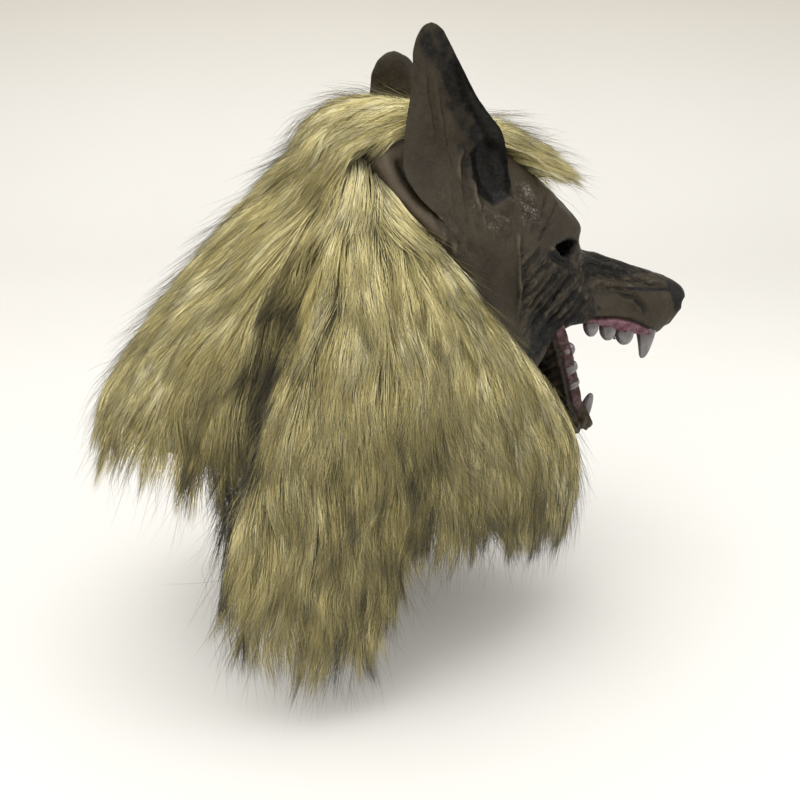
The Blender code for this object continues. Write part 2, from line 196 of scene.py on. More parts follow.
def make_skin_grain():
    """Fine leathery wrinkles: stretched cells under a soft noise, as a height."""
    tree, inside, out = group(
        "skin_grain",
        [
            ("Vector", "NodeSocketVector", None), ("Scale", "NodeSocketFloat", 260.0),
            ("Stretch", "NodeSocketFloat", 0.55)
        ],
        [("Height", "NodeSocketFloat")],
    )
    parts = add(tree, "ShaderNodeSeparateXYZ")
    back = add(tree, "ShaderNodeCombineXYZ")
    join(tree, (inside.outputs["Vector"], parts.inputs[0]))
    join(tree, (parts.outputs[0], back.inputs[0]), (parts.outputs[2], back.inputs[2]))
    tree.links.new(times(tree, parts.outputs[1], inside.outputs["Stretch"]), back.inputs[1])
    cells = add(tree, "ShaderNodeTexVoronoi", feature="DISTANCE_TO_EDGE")
    join(tree, (back.outputs[0], cells.inputs["Vector"]), (inside.outputs["Scale"], cells.inputs["Scale"]))
    ripple = add(tree, "ShaderNodeTexNoise")
    settle(ripple, Detail=6.0, Distortion=0.6)
    join(tree, (back.outputs[0], ripple.inputs["Vector"]))
    tree.links.new(times(tree, inside.outputs["Scale"], 0.35), ripple.inputs["Scale"])
    total = plus(tree, times(tree, span(tree, cells.outputs["Distance"], 0.0, 0.12), 0.35), ripple.outputs["Fac"])
    tree.links.new(total, out.inputs["Height"])
    return tree


def make_knit():
    """Rows of small loops, as on a knitted backing, as a height."""
    tree, inside, out = group(
        "knit_loops",
        [("Vector", "NodeSocketVector", None), ("Pitch", "NodeSocketFloat", 600.0)],
        [("Height", "NodeSocketFloat")],
    )
    parts = add(tree, "ShaderNodeSeparateXYZ")
    join(tree, (inside.outputs["Vector"], parts.inputs[0]))
    rows = number(tree, "SINE", times(tree, parts.outputs[0], inside.outputs["Pitch"]))
    loops = number(tree, "SINE", times(tree, parts.outputs[1], inside.outputs["Pitch"]))
    tree.links.new(
        plus(tree, number(tree, "ABSOLUTE", rows), number(tree, "ABSOLUTE", loops)), out.inputs["Height"]
    )
    return tree


def make_wrinkles():
    """Long wrinkles that run one way over the side of the head, as a height from 0 to 1."""
    tree, inside, out = group(
        "long_wrinkles",
        [
            ("Vector", "NodeSocketVector", None), ("Turn", "NodeSocketFloat", 0.6),
            ("Pitch", "NodeSocketFloat", 300.0)
        ],
        [("Height", "NodeSocketFloat")],
    )
    parts = add(tree, "ShaderNodeSeparateXYZ")
    join(tree, (inside.outputs["Vector"], parts.inputs[0]))
    sine, cosine = number(tree, "SINE", inside.outputs["Turn"]), number(tree, "COSINE", inside.outputs["Turn"])
    y, z = parts.outputs[1], parts.outputs[2]
    along = plus(tree, times(tree, y, cosine), times(tree, z, sine))
    across = less(tree, times(tree, z, cosine), times(tree, y, sine))
    laid = add(tree, "ShaderNodeCombineXYZ")
    join(
        tree, (times(tree, along, 0.22), laid.inputs[0]), (across, laid.inputs[1]),
        (times(tree, parts.outputs[0], 0.2), laid.inputs[2])
    )
    bent = add(tree, "ShaderNodeTexNoise")
    settle(bent, Detail=4.0, Roughness=0.55, Distortion=0.8)
    join(tree, (laid.outputs[0], bent.inputs["Vector"]), (inside.outputs["Pitch"], bent.inputs["Scale"]))
    tree.links.new(span(tree, bent.outputs["Fac"], 0.36, 0.64), out.inputs["Height"])
    return tree


MOTTLE, SKIN_GRAIN, KNIT, WRINKLES = make_mottle(), make_skin_grain(), make_knit(), make_wrinkles()


def use(tree, what, vector, **values):
    node = add(tree, "ShaderNodeGroup", node_tree=what)
    tree.links.new(vector, node.inputs["Vector"])
    settle(node, **values)
    return node


def finish_named(name, rough=0.5, coat=0.0, coat_rough=0.1, specular=0.5):
    """A new material with its Principled shader, tree and Object coordinates."""
    made = bpy.data.materials.new(name)
    made.use_nodes = True
    tree = made.node_tree
    shader = tree.nodes["Principled BSDF"]
    settle(shader, Roughness=rough, Coat_Weight=coat, Coat_Roughness=coat_rough, Specular_IOR_Level=specular)
    place = add(tree, "ShaderNodeTexCoord")
    return made, tree, shader, place.outputs["Object"]


def raise_surface(tree, shader, height, distance, strength=1.0):
    bump = add(tree, "ShaderNodeBump")
    settle(bump, Distance=distance, Strength=strength)
    join(tree, (height, bump.inputs["Height"]), (bump.outputs[0], shader.inputs["Normal"]))


def painted_latex():
    """Brown latex with black and pink brushwork. The piece's 'paint' attribute says where each goes: red is black
    paint, and also painted shade in the eye sockets, the eye slots and the hollow under each ear; green is pink; blue
    runs from the bottom of a fold, 0, to its crest, 1. From blue the colour gets painted shade at the bottoms, and on
    the
    crests a painted highlight together with dry-brushed paint. Its 'creases' attribute says where the fine wrinkles
    run:
    red over the cheek, green along the snout, blue the crackled patches. Their valleys get painted shade and their
    crests a painted highlight."""
    made, tree, shader, place = finish_named("painted_latex", 0.46, 0.03, 0.35, 0.13)
    paint = add(tree, "ShaderNodeAttribute", attribute_name="paint")
    parts = add(tree, "ShaderNodeSeparateColor")
    join(tree, (paint.outputs["Color"], parts.inputs[0]))
    creases = add(tree, "ShaderNodeAttribute", attribute_name="creases")
    lie = add(tree, "ShaderNodeSeparateColor")
    join(tree, (creases.outputs["Color"], lie.inputs[0]))
    mottle = use(tree, MOTTLE, place, Blotch=34.0, Speckle=420.0)
    brush = noise_of(tree, place, 150.0, 5.0, 0.7, 0.4)
    cheek = use(tree, WRINKLES, place, Turn=-0.694, Pitch=330.0)
    snout = use(tree, WRINKLES, place, Turn=0.27, Pitch=300.0)
    crackle = add(tree, "ShaderNodeTexVoronoi", feature="DISTANCE_TO_EDGE")
    crackle.inputs["Scale"].default_value = 330.0
    join(tree, (place, crackle.inputs["Vector"]))
    cracks = span(tree, crackle.outputs["Distance"], 0.0, 0.16)
    brown = blend_colour(tree, mottle.outputs["Blotches"], (0.0215, 0.0158, 0.0084), (0.0375, 0.0285, 0.0168))
    # painted shade: the colour darkens towards the bottom of each sculpted fold
    low = span(tree, parts.outputs[2], 0.5, 0.14)
    brown = blend_colour(tree, times(tree, low, 0.92), brown, (0.0068, 0.0060, 0.0040))
    wrinkled = plus(
        tree, times(tree, lie.outputs[0], cheek.outputs["Height"]),
        times(tree, lie.outputs[1], snout.outputs["Height"])
    )
    shaded = number(tree, "MAXIMUM", lie.outputs[0], lie.outputs[1])
    # painted shade: the colour darkens in the valleys of the fine wrinkles over the cheek and snout
    brown = blend_colour(
        tree, times(tree, span(tree, wrinkled, 0.42, 0.12), times(tree, shaded, 0.92)), brown,
        (0.0072, 0.0064, 0.0042)
    )
    # painted highlight together with dry-brushed paint: the colour lightens on the crests of the folds and the rolled
    # rim
    crest = plus(tree, parts.outputs[2], times(tree, brush, 0.35))
    high = span(tree, crest, 0.80, 1.10)
    brown = blend_colour(tree, times(tree, high, 0.70), brown, (0.098, 0.078, 0.054))
    # painted highlight: the colour lightens on the crests of the fine wrinkles, broken up by brush noise
    wrinkle_crest_highlight = times(tree, span(tree, wrinkled, 0.62, 0.86), span(tree, brush, 0.45, 0.7))
    brown = blend_colour(tree, times(tree, wrinkle_crest_highlight, 0.55), brown, (0.125, 0.102, 0.076))
    chalk = times(tree, lie.outputs[2], times(tree, cracks, span(tree, brush, 0.42, 0.62)))
    brown = blend_colour(tree, times(tree, chalk, 0.65), brown, (0.21, 0.185, 0.155))
    rough_edge = plus(tree, parts.outputs[0], times(tree, less(tree, brush, 0.5), 0.5))
    black = span(tree, rough_edge, 0.36, 0.66)
    colour = blend_colour(tree, black, brown, (0.0040, 0.0040, 0.0034))
    pink_edge = plus(tree, parts.outputs[1], times(tree, less(tree, brush, 0.5), 0.6))
    pink = span(tree, pink_edge, 0.30, 0.78)
    rose = blend_colour(tree, span(tree, brush, 0.38, 0.62), (0.070, 0.020, 0.034), (0.175, 0.088, 0.110))
    colour = blend_colour(tree, pink, colour, rose)
    colour = blend_colour(tree, times(tree, mottle.outputs["Speckles"], 0.06), colour, (0.14, 0.12, 0.10))
    join(tree, (colour, shader.inputs["Base Color"]))
    rough = plus(tree, times(tree, mottle.outputs["Blotches"], 0.10), 0.42)
    rough = less(tree, rough, times(tree, black, 0.02))
    rough = less(tree, rough, times(tree, pink, 0.16))
    join(tree, (rough, shader.inputs["Roughness"]))
    grain = use(tree, SKIN_GRAIN, place, Scale=300.0, Stretch=0.6)
    height = plus(tree, times(tree, grain.outputs["Height"], 0.35), times(tree, wrinkled, 1.5))
    height = plus(tree, height, times(tree, times(tree, lie.outputs[2], cracks), 0.9))
    raise_surface(tree, shader, height, 0.0009, 0.75)
    return made


def painted_gum():
    made, tree, shader, place = finish_named("painted_gum", 0.25, 0.6, 0.12, 0.5)
    mottle = use(tree, MOTTLE, place, Blotch=70.0, Speckle=500.0)
    colour = blend_colour(tree, mottle.outputs["Blotches"], (0.040, 0.015, 0.022), (0.120, 0.060, 0.074))
    colour = blend_colour(tree, times(tree, mottle.outputs["Speckles"], 0.25), colour, (0.06, 0.012, 0.03))
    join(tree, (colour, shader.inputs["Base Color"]))
    grain = use(tree, SKIN_GRAIN, place, Scale=380.0, Stretch=1.0)
    raise_surface(tree, shader, grain.outputs["Height"], 0.0006, 0.5)
    return made


def cast_tooth():
    """Clear grey resin, darker towards the root."""
    made, tree, shader, place = finish_named("cast_tooth", 0.12, 0.8, 0.06, 0.5)
    where = add(tree, "ShaderNodeUVMap", uv_map="OFBake")
    parts = add(tree, "ShaderNodeSeparateXYZ")
    join(tree, (where.outputs[0], parts.inputs[0]))
    mottle = use(tree, MOTTLE, place, Blotch=160.0, Speckle=900.0)
    root = span(tree, parts.outputs[1], 0.60, 0.05)
    colour = blend_colour(tree, mottle.outputs["Blotches"], (0.075, 0.067, 0.070), (0.150, 0.138, 0.144))
    colour = blend_colour(tree, times(tree, root, 0.75), colour, (0.040, 0.020, 0.026))
    join(tree, (colour, shader.inputs["Base Color"]))
    join(tree, (plus(tree, times(tree, mottle.outputs["Speckles"], 0.08), 0.08), shader.inputs["Roughness"]))
    return made


def pile_fibre():
    """Faux-fur fibre. Across the map runs the fibre's tint, blond to dark-tipped; up it, root to tip."""
    made, tree, shader, _ = finish_named("pile_fibre", 0.5, 0.0, 0.1, 0.30)
    where = add(tree, "ShaderNodeUVMap", uv_map="OFBake")
    parts = add(tree, "ShaderNodeSeparateXYZ")
    join(tree, (where.outputs[0], parts.inputs[0]))
    tint, along = parts.outputs[0], parts.outputs[1]
    body = add(tree, "ShaderNodeValToRGB")
    body.color_ramp.elements[0].color = (0.97, 0.93, 0.68, 1)
    body.color_ramp.elements[1].position = 1.0
    body.color_ramp.elements[1].color = (0.105, 0.089, 0.036, 1)
    for spot, colour in (
        (0.20, (0.93, 0.845, 0.485, 1)), (0.42, (0.69, 0.60, 0.265, 1)), (0.68, (0.330, 0.275, 0.102, 1))
    ):
        body.color_ramp.elements.new(spot).color = colour
    join(tree, (tint, body.inputs[0]))
    # painted shade: each fibre darkens towards its root, as deep inside the pile
    root = span(tree, along, 0.46, 0.0)
    colour = blend_colour(tree, times(tree, root, 0.80), body.outputs[0], (0.095, 0.077, 0.026))
    starts = span(tree, tint, 0.26, 1.0, 1.04, 0.40)
    ends = plus(tree, starts, 0.24)
    dark = span(tree, along, starts, ends)
    colour = blend_colour(tree, times(tree, dark, 0.96), colour, (0.026, 0.023, 0.018))
    join(tree, (colour, shader.inputs["Base Color"]))
    settle(shader, Sheen_Weight=0.10, Sheen_Roughness=0.4)
    return made


def backing_cloth():
    made, tree, shader, place = finish_named("backing_knit", 0.9, 0.0, 0.1, 0.2)
    where = add(tree, "ShaderNodeUVMap", uv_map="weave")
    mottle = use(tree, MOTTLE, place, Blotch=60.0, Speckle=700.0)
    colour = blend_colour(tree, mottle.outputs["Blotches"], (0.060, 0.048, 0.018), (0.110, 0.088, 0.034))
    colour = blend_colour(tree, times(tree, mottle.outputs["Speckles"], 0.3), colour, (0.16, 0.13, 0.06))
    join(tree, (colour, shader.inputs["Base Color"]))
    loops = use(tree, KNIT, where.outputs[0], Pitch=700.0)
    raise_surface(tree, shader, loops.outputs["Height"], 0.0005, 0.8)
    shader.inputs["Sheen Weight"].default_value = 0.3
    return made


LATEX, GUM, TOOTH, PILE, BACKING = painted_latex(), painted_gum(), cast_tooth(), pile_fibre(), backing_cloth()


# ------------------------------------------------------------------ shape helpers
def drawn_out(bm, top):
    """Draws the top face of a closed shape out into a new ring; returns the new points and the new top face."""
    inner = any(len(edge.link_faces) > 1 for edge in top.edges)
    grown = bmesh.ops.extrude_face_region(bm, geom=[top])["geom"]
    if inner:
        bmesh.ops.delete(bm, geom=[top], context="FACES_ONLY")
    return [
        g for g in grown if isinstance(g, bmesh.types.BMVert)
    ], next(g for g in grown if isinstance(g, bmesh.types.BMFace))


def shares(f):
    return np.stack(
        [
            -0.5 * f**3 + f**2 - 0.5 * f, 1.5 * f**3 - 2.5 * f**2 + 1, -1.5 * f**3 + 2 * f**2 + 0.5 * f,
            0.5 * f**3 - 0.5 * f**2
        ],
        -1,
    )


def padded_net(net):
    net = np.asarray(net, float)
    net = np.concatenate([2 * net[:1] - net[1:2], net, 2 * net[-1:] - net[-2:-1]])
    return np.concatenate([2 * net[:, :1] - net[:, 1:2], net, 2 * net[:, -1:] - net[:, -2:-1]], axis=1)


def on_net(net, a, b):
    """Points of the smooth surface through a net, at row a and column b, both fractions of the net from 0 to 1."""
    wide = padded_net(net)
    rows, columns = wide.shape[0] - 2, wide.shape[1] - 2
    a, b = np.clip(a, 0, 1) * (rows - 1), np.clip(b, 0, 1) * (columns - 1)
    i, j = np.minimum(a.astype(int), rows - 2), np.minimum(b.astype(int), columns - 2)
    wa, wb = shares(a - i), shares(b - j)
    total = 0
    for m in range(4):
        for n in range(4):
            total = total + (wa[:, m] * wb[:, n])[:, None] * wide[i + m, j + n]
    return total


def both_sides(rows):
    right = [[(-x, y, z) for x, y, z in row] for row in rows]
    return np.array(right[::-1] + [list(row) for row in rows[1:]], float)


def unit(v):
    return v / np.maximum(np.linalg.norm(v, axis=-1, keepdims=True), 1e-9)


def step(x, low, high):
    t = np.clip((x - low) / (high - low), 0, 1)
    return t * t * (3 - 2 * t)


def wave(p, size, seed=0.0):
    """Smooth noise from about -1 to 1, with features about this many millimetres across."""
    q = np.asarray(p, float) * (2 * math.pi / (size * 2.2))
    s = seed * 1.7
    a = np.sin(
        q[:, 0] * 1.3 + 1.9 * np.sin(q[:, 1] * 0.9 + s) + s
    ) * np.cos(q[:, 1] * 1.1 + 1.3 * np.sin(q[:, 2] * 1.2 + 2 * s))
    b = np.sin(
        q[:, 2] * 1.2 + 1.7 * np.sin(q[:, 0] * 1.1 - s) + 2.3 + s
    ) * np.cos(q[:, 1] * 1.4 - 1.1 * np.sin(q[:, 0] * 0.7 + s))
    return 0.6 * (a + b)


def grid_mesh(name, across, along, place):
    """A bmesh grid carried to place(u, v), with u and v from 0 to 1; keeps them as the 'weave' map."""
    bm = bmesh.new()
    bmesh.ops.create_grid(bm, x_segments=across, y_segments=along, size=1.0)
    flat = np.array([v.co[:2] for v in bm.verts])
    uv = (flat - flat.min(axis=0)) / (flat.max(axis=0) - flat.min(axis=0))
    spots = place(uv[:, 0], uv[:, 1])
    layer = bm.loops.layers.uv.new("weave")
    for vert, spot in zip(bm.verts, spots):
        vert.co = spot * MM
    for face in bm.faces:
        for loop in face.loops:
            loop[layer].uv = uv[loop.vert.index]
    mesh = bpy.data.meshes.new(name)
    bm.to_mesh(mesh)
    bm.free()
    return mesh, uv


def points_of(mesh):
    co = np.empty(len(mesh.vertices) * 3, np.float32)
    mesh.vertices.foreach_get("co", co)
    return co.reshape(-1, 3).astype(float) * UNIT


def normals_of(mesh):
    out = np.empty(len(mesh.vertices) * 3, np.float32)
    mesh.vertex_normals.foreach_get("vector", out)
    return out.reshape(-1, 3).astype(float)


def set_points(mesh, points):
    mesh.vertices.foreach_set("co", (np.asarray(points) * MM).astype(np.float32).ravel())
    mesh.update()


def link(name, mesh, finish, smooth=True):
    mesh.materials.clear()
    mesh.materials.append(finish)
    if smooth:
        mesh.shade_smooth()
    thing = bpy.data.objects.new(name, mesh)
    bpy.context.scene.collection.objects.link(thing)
    return thing


def facing_out(mesh, middle):
    """Turns the mesh's faces if they look towards this point."""
    p, n = points_of(mesh), normals_of(mesh)
    if ((p - np.asarray(middle, float)) * n).sum() < 0:
        mesh.flip_normals()
        mesh.update()


def line_gap(y, z, line):
    """How far each (y, z) is from a line of (y, z) points, and how far along the line its foot is, 0 to 1."""
    best, where = np.full(len(y), 1e9), np.zeros(len(y))
    total = len(line) - 1
    for k in range(total):
        a, b = np.array(line[k], float), np.array(line[k + 1], float)
        ab = b - a
        t = np.clip(((y - a[0]) * ab[0] + (z - a[1]) * ab[1]) / (ab @ ab), 0, 1)
        d = np.hypot(y - a[0] - t * ab[0], z - a[1] - t * ab[1])
        near = d < best
        best = np.where(near, d, best)
        where = np.where(near, (k + t) / total, where)
    return best, where


def fold(y, z, line, width, depth, lip=0.35):
    """The height of a fold pressed in along a line, with a soft swelling on both sides; it fades at its ends."""
    gap, where = line_gap(y, z, line)
    fade = step(where, 0.0, 0.18) * (1 - step(where, 0.82, 1.0))
    return fade * (
        -depth * np.exp(-((gap / width) ** 2)) + lip * depth * np.exp(-(((gap - 2.0 * width) / (1.1 * width)) ** 2))
    )


def ridge(y, z, line, width, height, ends=0.15):
    gap, where = line_gap(y, z, line)
    fade = step(where, 0.0, ends) * (1 - step(where, 1 - ends, 1.0)) if ends else 1.0
    return fade * height * np.exp(-((gap / width) ** 2))


def mound(p, centre, radii, side=True):
    """1 at the centre of an ellipsoid, falling smoothly to 0 outside it; mirrored to both sides."""
    x = np.abs(p[:, 0]) if side else p[:, 0]
    q = np.stack([x - centre[0], p[:, 1] - centre[1], p[:, 2] - centre[2]], -1) / np.asarray(radii, float)
    return np.exp(-(q**2).sum(-1))


def inside(y, z, corners, soft):
    """1 inside a convex outline of (y, z) corners, falling to 0 this many millimetres outside it."""
    worst = np.full(len(y), -1e9)
    turn = 0.0
    for k, (ay, az) in enumerate(corners):
        by, bz = corners[(k + 1) % len(corners)]
        turn += ay * bz - by * az
    sign = 1 if turn > 0 else -1
    for k, (ay, az) in enumerate(corners):
        by, bz = corners[(k + 1) % len(corners)]
        length = math.hypot(by - ay, bz - az)
        worst = np.maximum(worst, -sign * ((by - ay) * (z - az) - (bz - az) * (y - ay)) / length)
    return 1 - step(worst, -soft * 0.5, soft * 0.5)


# ------------------------------------------------------------------ the face skin
FACE = [
    [
        (0, 44, -6), (0, 30, 1), (0, -10, 3), (0, -62, -11), (0, -106, -46), (0, -124, -68), (0, -131, -87),
        (0, -153, -97), (0, -184, -107.5), (0, -208, -117), (0, -221, -130), (0, -214, -146), (0, -207, -148)
    ],
    [
        (26, 42, -14), (29, 29, -5), (32, -8, -1), (30, -60, -17), (27, -101, -50), (25, -117, -66),
        (17, -132, -92), (14, -153, -101), (12, -184, -110), (10.5, -206, -119), (9, -219, -131), (8, -212, -147),
        (7, -205, -149)
    ],
    [
        (48, 33, -36), (56, 23, -24), (60, -5, -22), (54, -50, -35), (44, -93, -56), (39, -110, -74),
        (27, -132, -103), (24, -152, -109), (20, -183, -118), (16.5, -203, -125), (14, -216, -132),
        (12, -208, -148), (11, -201, -150)
    ],
    [
        (64, 17, -68), (75, 4, -57), (79, -14, -57), (73, -45, -62), (61, -78, -76), (49, -102, -93),
        (36, -130, -114), (31, -150, -119), (25, -181, -127), (19, -202, -132), (16, -212, -137), (14, -204, -149),
        (12, -198, -151)
    ],
    [
        (73, -8, -98), (82, -19, -89), (83, -32, -89), (77, -50, -94), (66, -76, -105), (53, -99, -114),
        (41, -127, -124), (36, -147, -128), (28, -176, -135), (22, -196, -139), (18, -206, -142), (15, -200, -150),
        (13, -195, -152)
    ],
    [
        (72, -33, -134), (81, -45, -123), (78, -54, -122), (69, -66, -121), (59, -82, -123), (50, -101, -128),
        (42, -126, -132), (38, -146, -135), (31, -174, -141), (24, -193, -146), (19, -200, -148), (16, -197, -152),
        (13, -192, -153)
    ],
    [
        (63, -76, -166), (66, -80, -158), (62, -84, -155), (56, -90, -151), (50, -97, -145), (44, -108, -138),
        (40, -126, -137), (37, -145, -142), (31, -171, -150), (25, -186, -153), (20, -192, -154), (16, -191, -155),
        (13, -188, -155)
    ],
    [
        (60, -74, -165), (62, -78, -158), (58, -82, -155), (52, -88, -150), (47, -96, -143), (41, -108, -136),
        (37, -125, -135), (33, -144, -139), (27, -170, -147), (21, -184, -150), (17, -189, -151), (13, -188, -152),
        (10, -186, -152)
    ],
]
BROW_FOLDS = [
    [(-101, -50), (-92, -58), (-86, -68)], [(-93, -45), (-85, -55), (-79, -66)],
    [(-84, -48), (-79, -58), (-74, -70)], [(-96, -62), (-88, -66), (-80, -74)]
]
CHEEK_FOLDS = [
    ([(-103, -90), (-90, -99), (-80, -107), (-71, -120)], 1.7, 2.2),
    ([(-117, -98), (-101, -106), (-89, -117), (-74, -134)], 1.9, 2.8),
    ([(-119, -110), (-106, -118), (-95, -129), (-81, -143)], 1.9, 2.6),
    ([(-92, -86), (-80, -91), (-72, -97), (-65, -107)], 1.5, 2.0),
    ([(-84, -77), (-74, -82), (-66, -90)], 1.5, 1.8),
    ([(-128, -119), (-116, -126), (-105, -136)], 1.6, 2.0),
    ([(-97, -93), (-86, -103), (-75, -114)], 0.9, 1.0),
    ([(-110, -103), (-97, -111), (-83, -126)], 1.0, 1.3),
    ([(-113, -115), (-101, -123), (-88, -136)], 1.0, 1.2),
    ([(-126, -113), (-113, -121), (-100, -132)], 1.0, 1.1),
    ([(-88, -92), (-78, -99), (-69, -110)], 0.9, 0.9),
    ([(-106, -97), (-94, -104), (-84, -112), (-76, -124)], 0.9, 1.0),
    ([(-96, -141), (-82, -149), (-68, -158)], 1.6, 1.6),
    ([(-92, -134), (-80, -142), (-66, -151)], 1.2, 1.2),
    ([(-104, -128), (-92, -137), (-78, -148)], 1.2, 1.4),
]
BRIDGE_FOLDS = [
    ([(-128, -91), (-149, -98), (-174, -106), (-193, -111)], 1.3, 1.5),
    ([(-130, -97), (-150, -103), (-174, -110)], 1.3, 1.6),
    ([(-137, -104), (-155, -109), (-180, -115), (-198, -119)], 1.2, 1.4),
    ([(-133, -110), (-150, -115), (-172, -119)], 1.1, 1.1),
    ([(-141, -95), (-158, -101), (-182, -108)], 0.9, 0.9),
    ([(-128, -103), (-141, -108), (-152, -111)], 1.0, 1.1),
    ([(-153, -118), (-166, -122), (-175, -130), (-176, -137)], 2.0, 1.8),
]
LID = [(-87, -77), (-97, -82), (-106, -88), (-117, -91)]
CHEEK_LINE = [(-64, -60), (-62, -76), (-63, -90), (-65, -104), (-63, -124)]
GUM_LINE = [(-122, -134), (-136, -133.5), (-150, -135), (-163, -138), (-175, -143.5), (-186, -150), (-196, -154)]
RIM_ROLL = [(17, -11), (20, -20), (16, -33), (7, -45), (-4, -57), (-15, -69), (-30, -84), (-42, -98)]
EAR_CREASE = [(13, -18), (13, -24), (5, -37), (-8, -48), (-20, -62), (-30, -74)]
EAR_POCKET = [(-35, -17), (-43, -9), (-51, -12), (-56, -24), (-56, -41), (-47, -45), (-38, -38)]


def face_place(u, v):
    net = both_sides(FACE)
    ease = np.interp(
        v, [0, 0.03, 0.11, 0.20, 0.34, 0.46, 0.58, 0.68, 0.80, 0.88, 0.94, 0.98, 1], np.linspace(0, 1, 13)
    )
    side = np.abs(2 * u - 1)
    lanes = np.interp(side, [0, 0.10, 0.22, 0.38, 0.58, 0.76, 0.92, 1], np.linspace(0, 1, 8))
    return on_net(net, 0.5 + 0.5 * np.sign(2 * u - 1) * lanes, ease)


def sculpt_face(p, n):
    """Presses the brow, sockets, folds and wrinkles into the smooth head; returns the new points and the fold height."""
    y, z = p[:, 1] + 1.2 * wave(p, 14, 1), p[:, 2] + 1.2 * wave(p, 12, 2)
    side = step(np.abs(n[:, 0]), 0.18, 0.45)
    out = np.zeros(len(p))
    move = np.zeros_like(p)
    way = np.sign(p[:, 0])
    brow = mound(p, (29, -118, -66), (17, 12, 11))
    move[:, 1] -= 5.5 * brow
    move[:, 2] -= 1.5 * brow
    out += 2.0 * mound(p, (41, -100, -52), (16, 16, 12))
    socket = mound(p, (42, -111, -84), (13, 12, 6.5))
    move[:, 1] += 8.5 * socket
    move[:, 0] -= way * 3.5 * socket
    out += 3.0 * mound(p, (57, -84, -94), (16, 20, 12))
    out -= 2.5 * mound(p, (30, -130, -103), (8, 10, 8))
    out += 2.5 * mound(p, (29, -180, -137), (10, 16, 8))
    out += 1.5 * mound(p, (8, -213, -124), (10, 10, 9))
    out -= 2.0 * mound(p, (18, -195, -122), (5, 8, 4))
    out -= 4.5 * mound(p, (11, -216, -133), (3.6, 5, 2.6))
    out -= 3.0 * mound(p, (0, -131, -87), (9, 8, 8), False)
    move[:, 0] -= way * 12.0 * inside(p[:, 1], p[:, 2], EAR_POCKET, 12) * side
    fine = np.zeros(len(p))
    for line, width, depth in CHEEK_FOLDS:
        fine += fold(y, z, line, width, depth) * side
    for line, width, depth in BRIDGE_FOLDS:
        fine += fold(y, z, line, width, depth) * step(np.abs(p[:, 0]), 3, 7)
    for line in BROW_FOLDS:
        fine += fold(y, z, line, 1.2, 1.4) * side
    fine += ridge(y, z, LID, 1.8, 2.8) * side
    fine += fold(y, z, [(a - 1, b - 5.5) for a, b in LID], 1.6, 1.8) * side
    fine += ridge(y, z, CHEEK_LINE, 1.3, 2.2) * side
    fine += fold(y, z, [(a - 4, b) for a, b in CHEEK_LINE], 1.8, 1.2, 0.0) * side
    gum_side = step(np.abs(n[:, 0]), 0.25, 0.5) * step(-p[:, 2], 128, 134)
    fine += fold(p[:, 1], p[:, 2], GUM_LINE, 1.2, 1.9, 0.45) * gum_side
    gap, where = line_gap(p[:, 1], p[:, 2], RIM_ROLL)
    lobe = 1 - 0.45 * step(where, 0.05, 0.4)
    roll = 6.0 * lobe * np.exp(
        -((gap / (4.6 + 5.0 * (1 - step(where, 0.0, 0.26)))) ** 2)
    ) * (1 - step(where, 0.50, 0.95)) * side
    crease = fold(p[:, 1], p[:, 2], EAR_CREASE, 2.2, 2.6, 0.0) * side
    crumple = inside(y, z, [(-98, -38), (-66, -36), (-66, -62), (-94, -72)], 10) * side
    fine += crumple * 0.9 * (np.abs(wave(p, 5, 4)) - 0.45 + 0.6 * np.abs(wave(p, 2.6, 6)))
    ear_root = inside(p[:, 1], p[:, 2], [(-60, -30), (4, -30), (-14, -74), (-52, -74)], 12) * side
    fine += ear_root * 1.3 * wave(np.stack([p[:, 1] * 2.1, p[:, 1] * 0, p[:, 2] * 0.5], -1), 9, 3)
    nose = step(-p[:, 1], 200, 208)
    fine += nose * 0.3 * np.abs(wave(p, 2.2, 7))
    soft = 0.6 * wave(p, 26, 8) + 0.25 * wave(p, 9, 9)
    return p + move + n * (out + fine + roll + crease + soft)[:, None], fine + 0.7 * roll + crease


def paint_layer(mesh, black, pink, height, cheek=0.0, snout=0.0, crackle=0.0):
    count = len(black)
    for name, parts in (("paint", (black, pink, np.clip(height, 0, 1))), ("creases", (cheek, snout, crackle))):
        layer = mesh.color_attributes.new(name, "FLOAT_COLOR", "POINT")
        data = np.stack([np.clip(part, 0, 1) * np.ones(count) for part in parts] + [np.ones(count)], -1)
        layer.data.foreach_set("color", data.astype(np.float32).ravel())


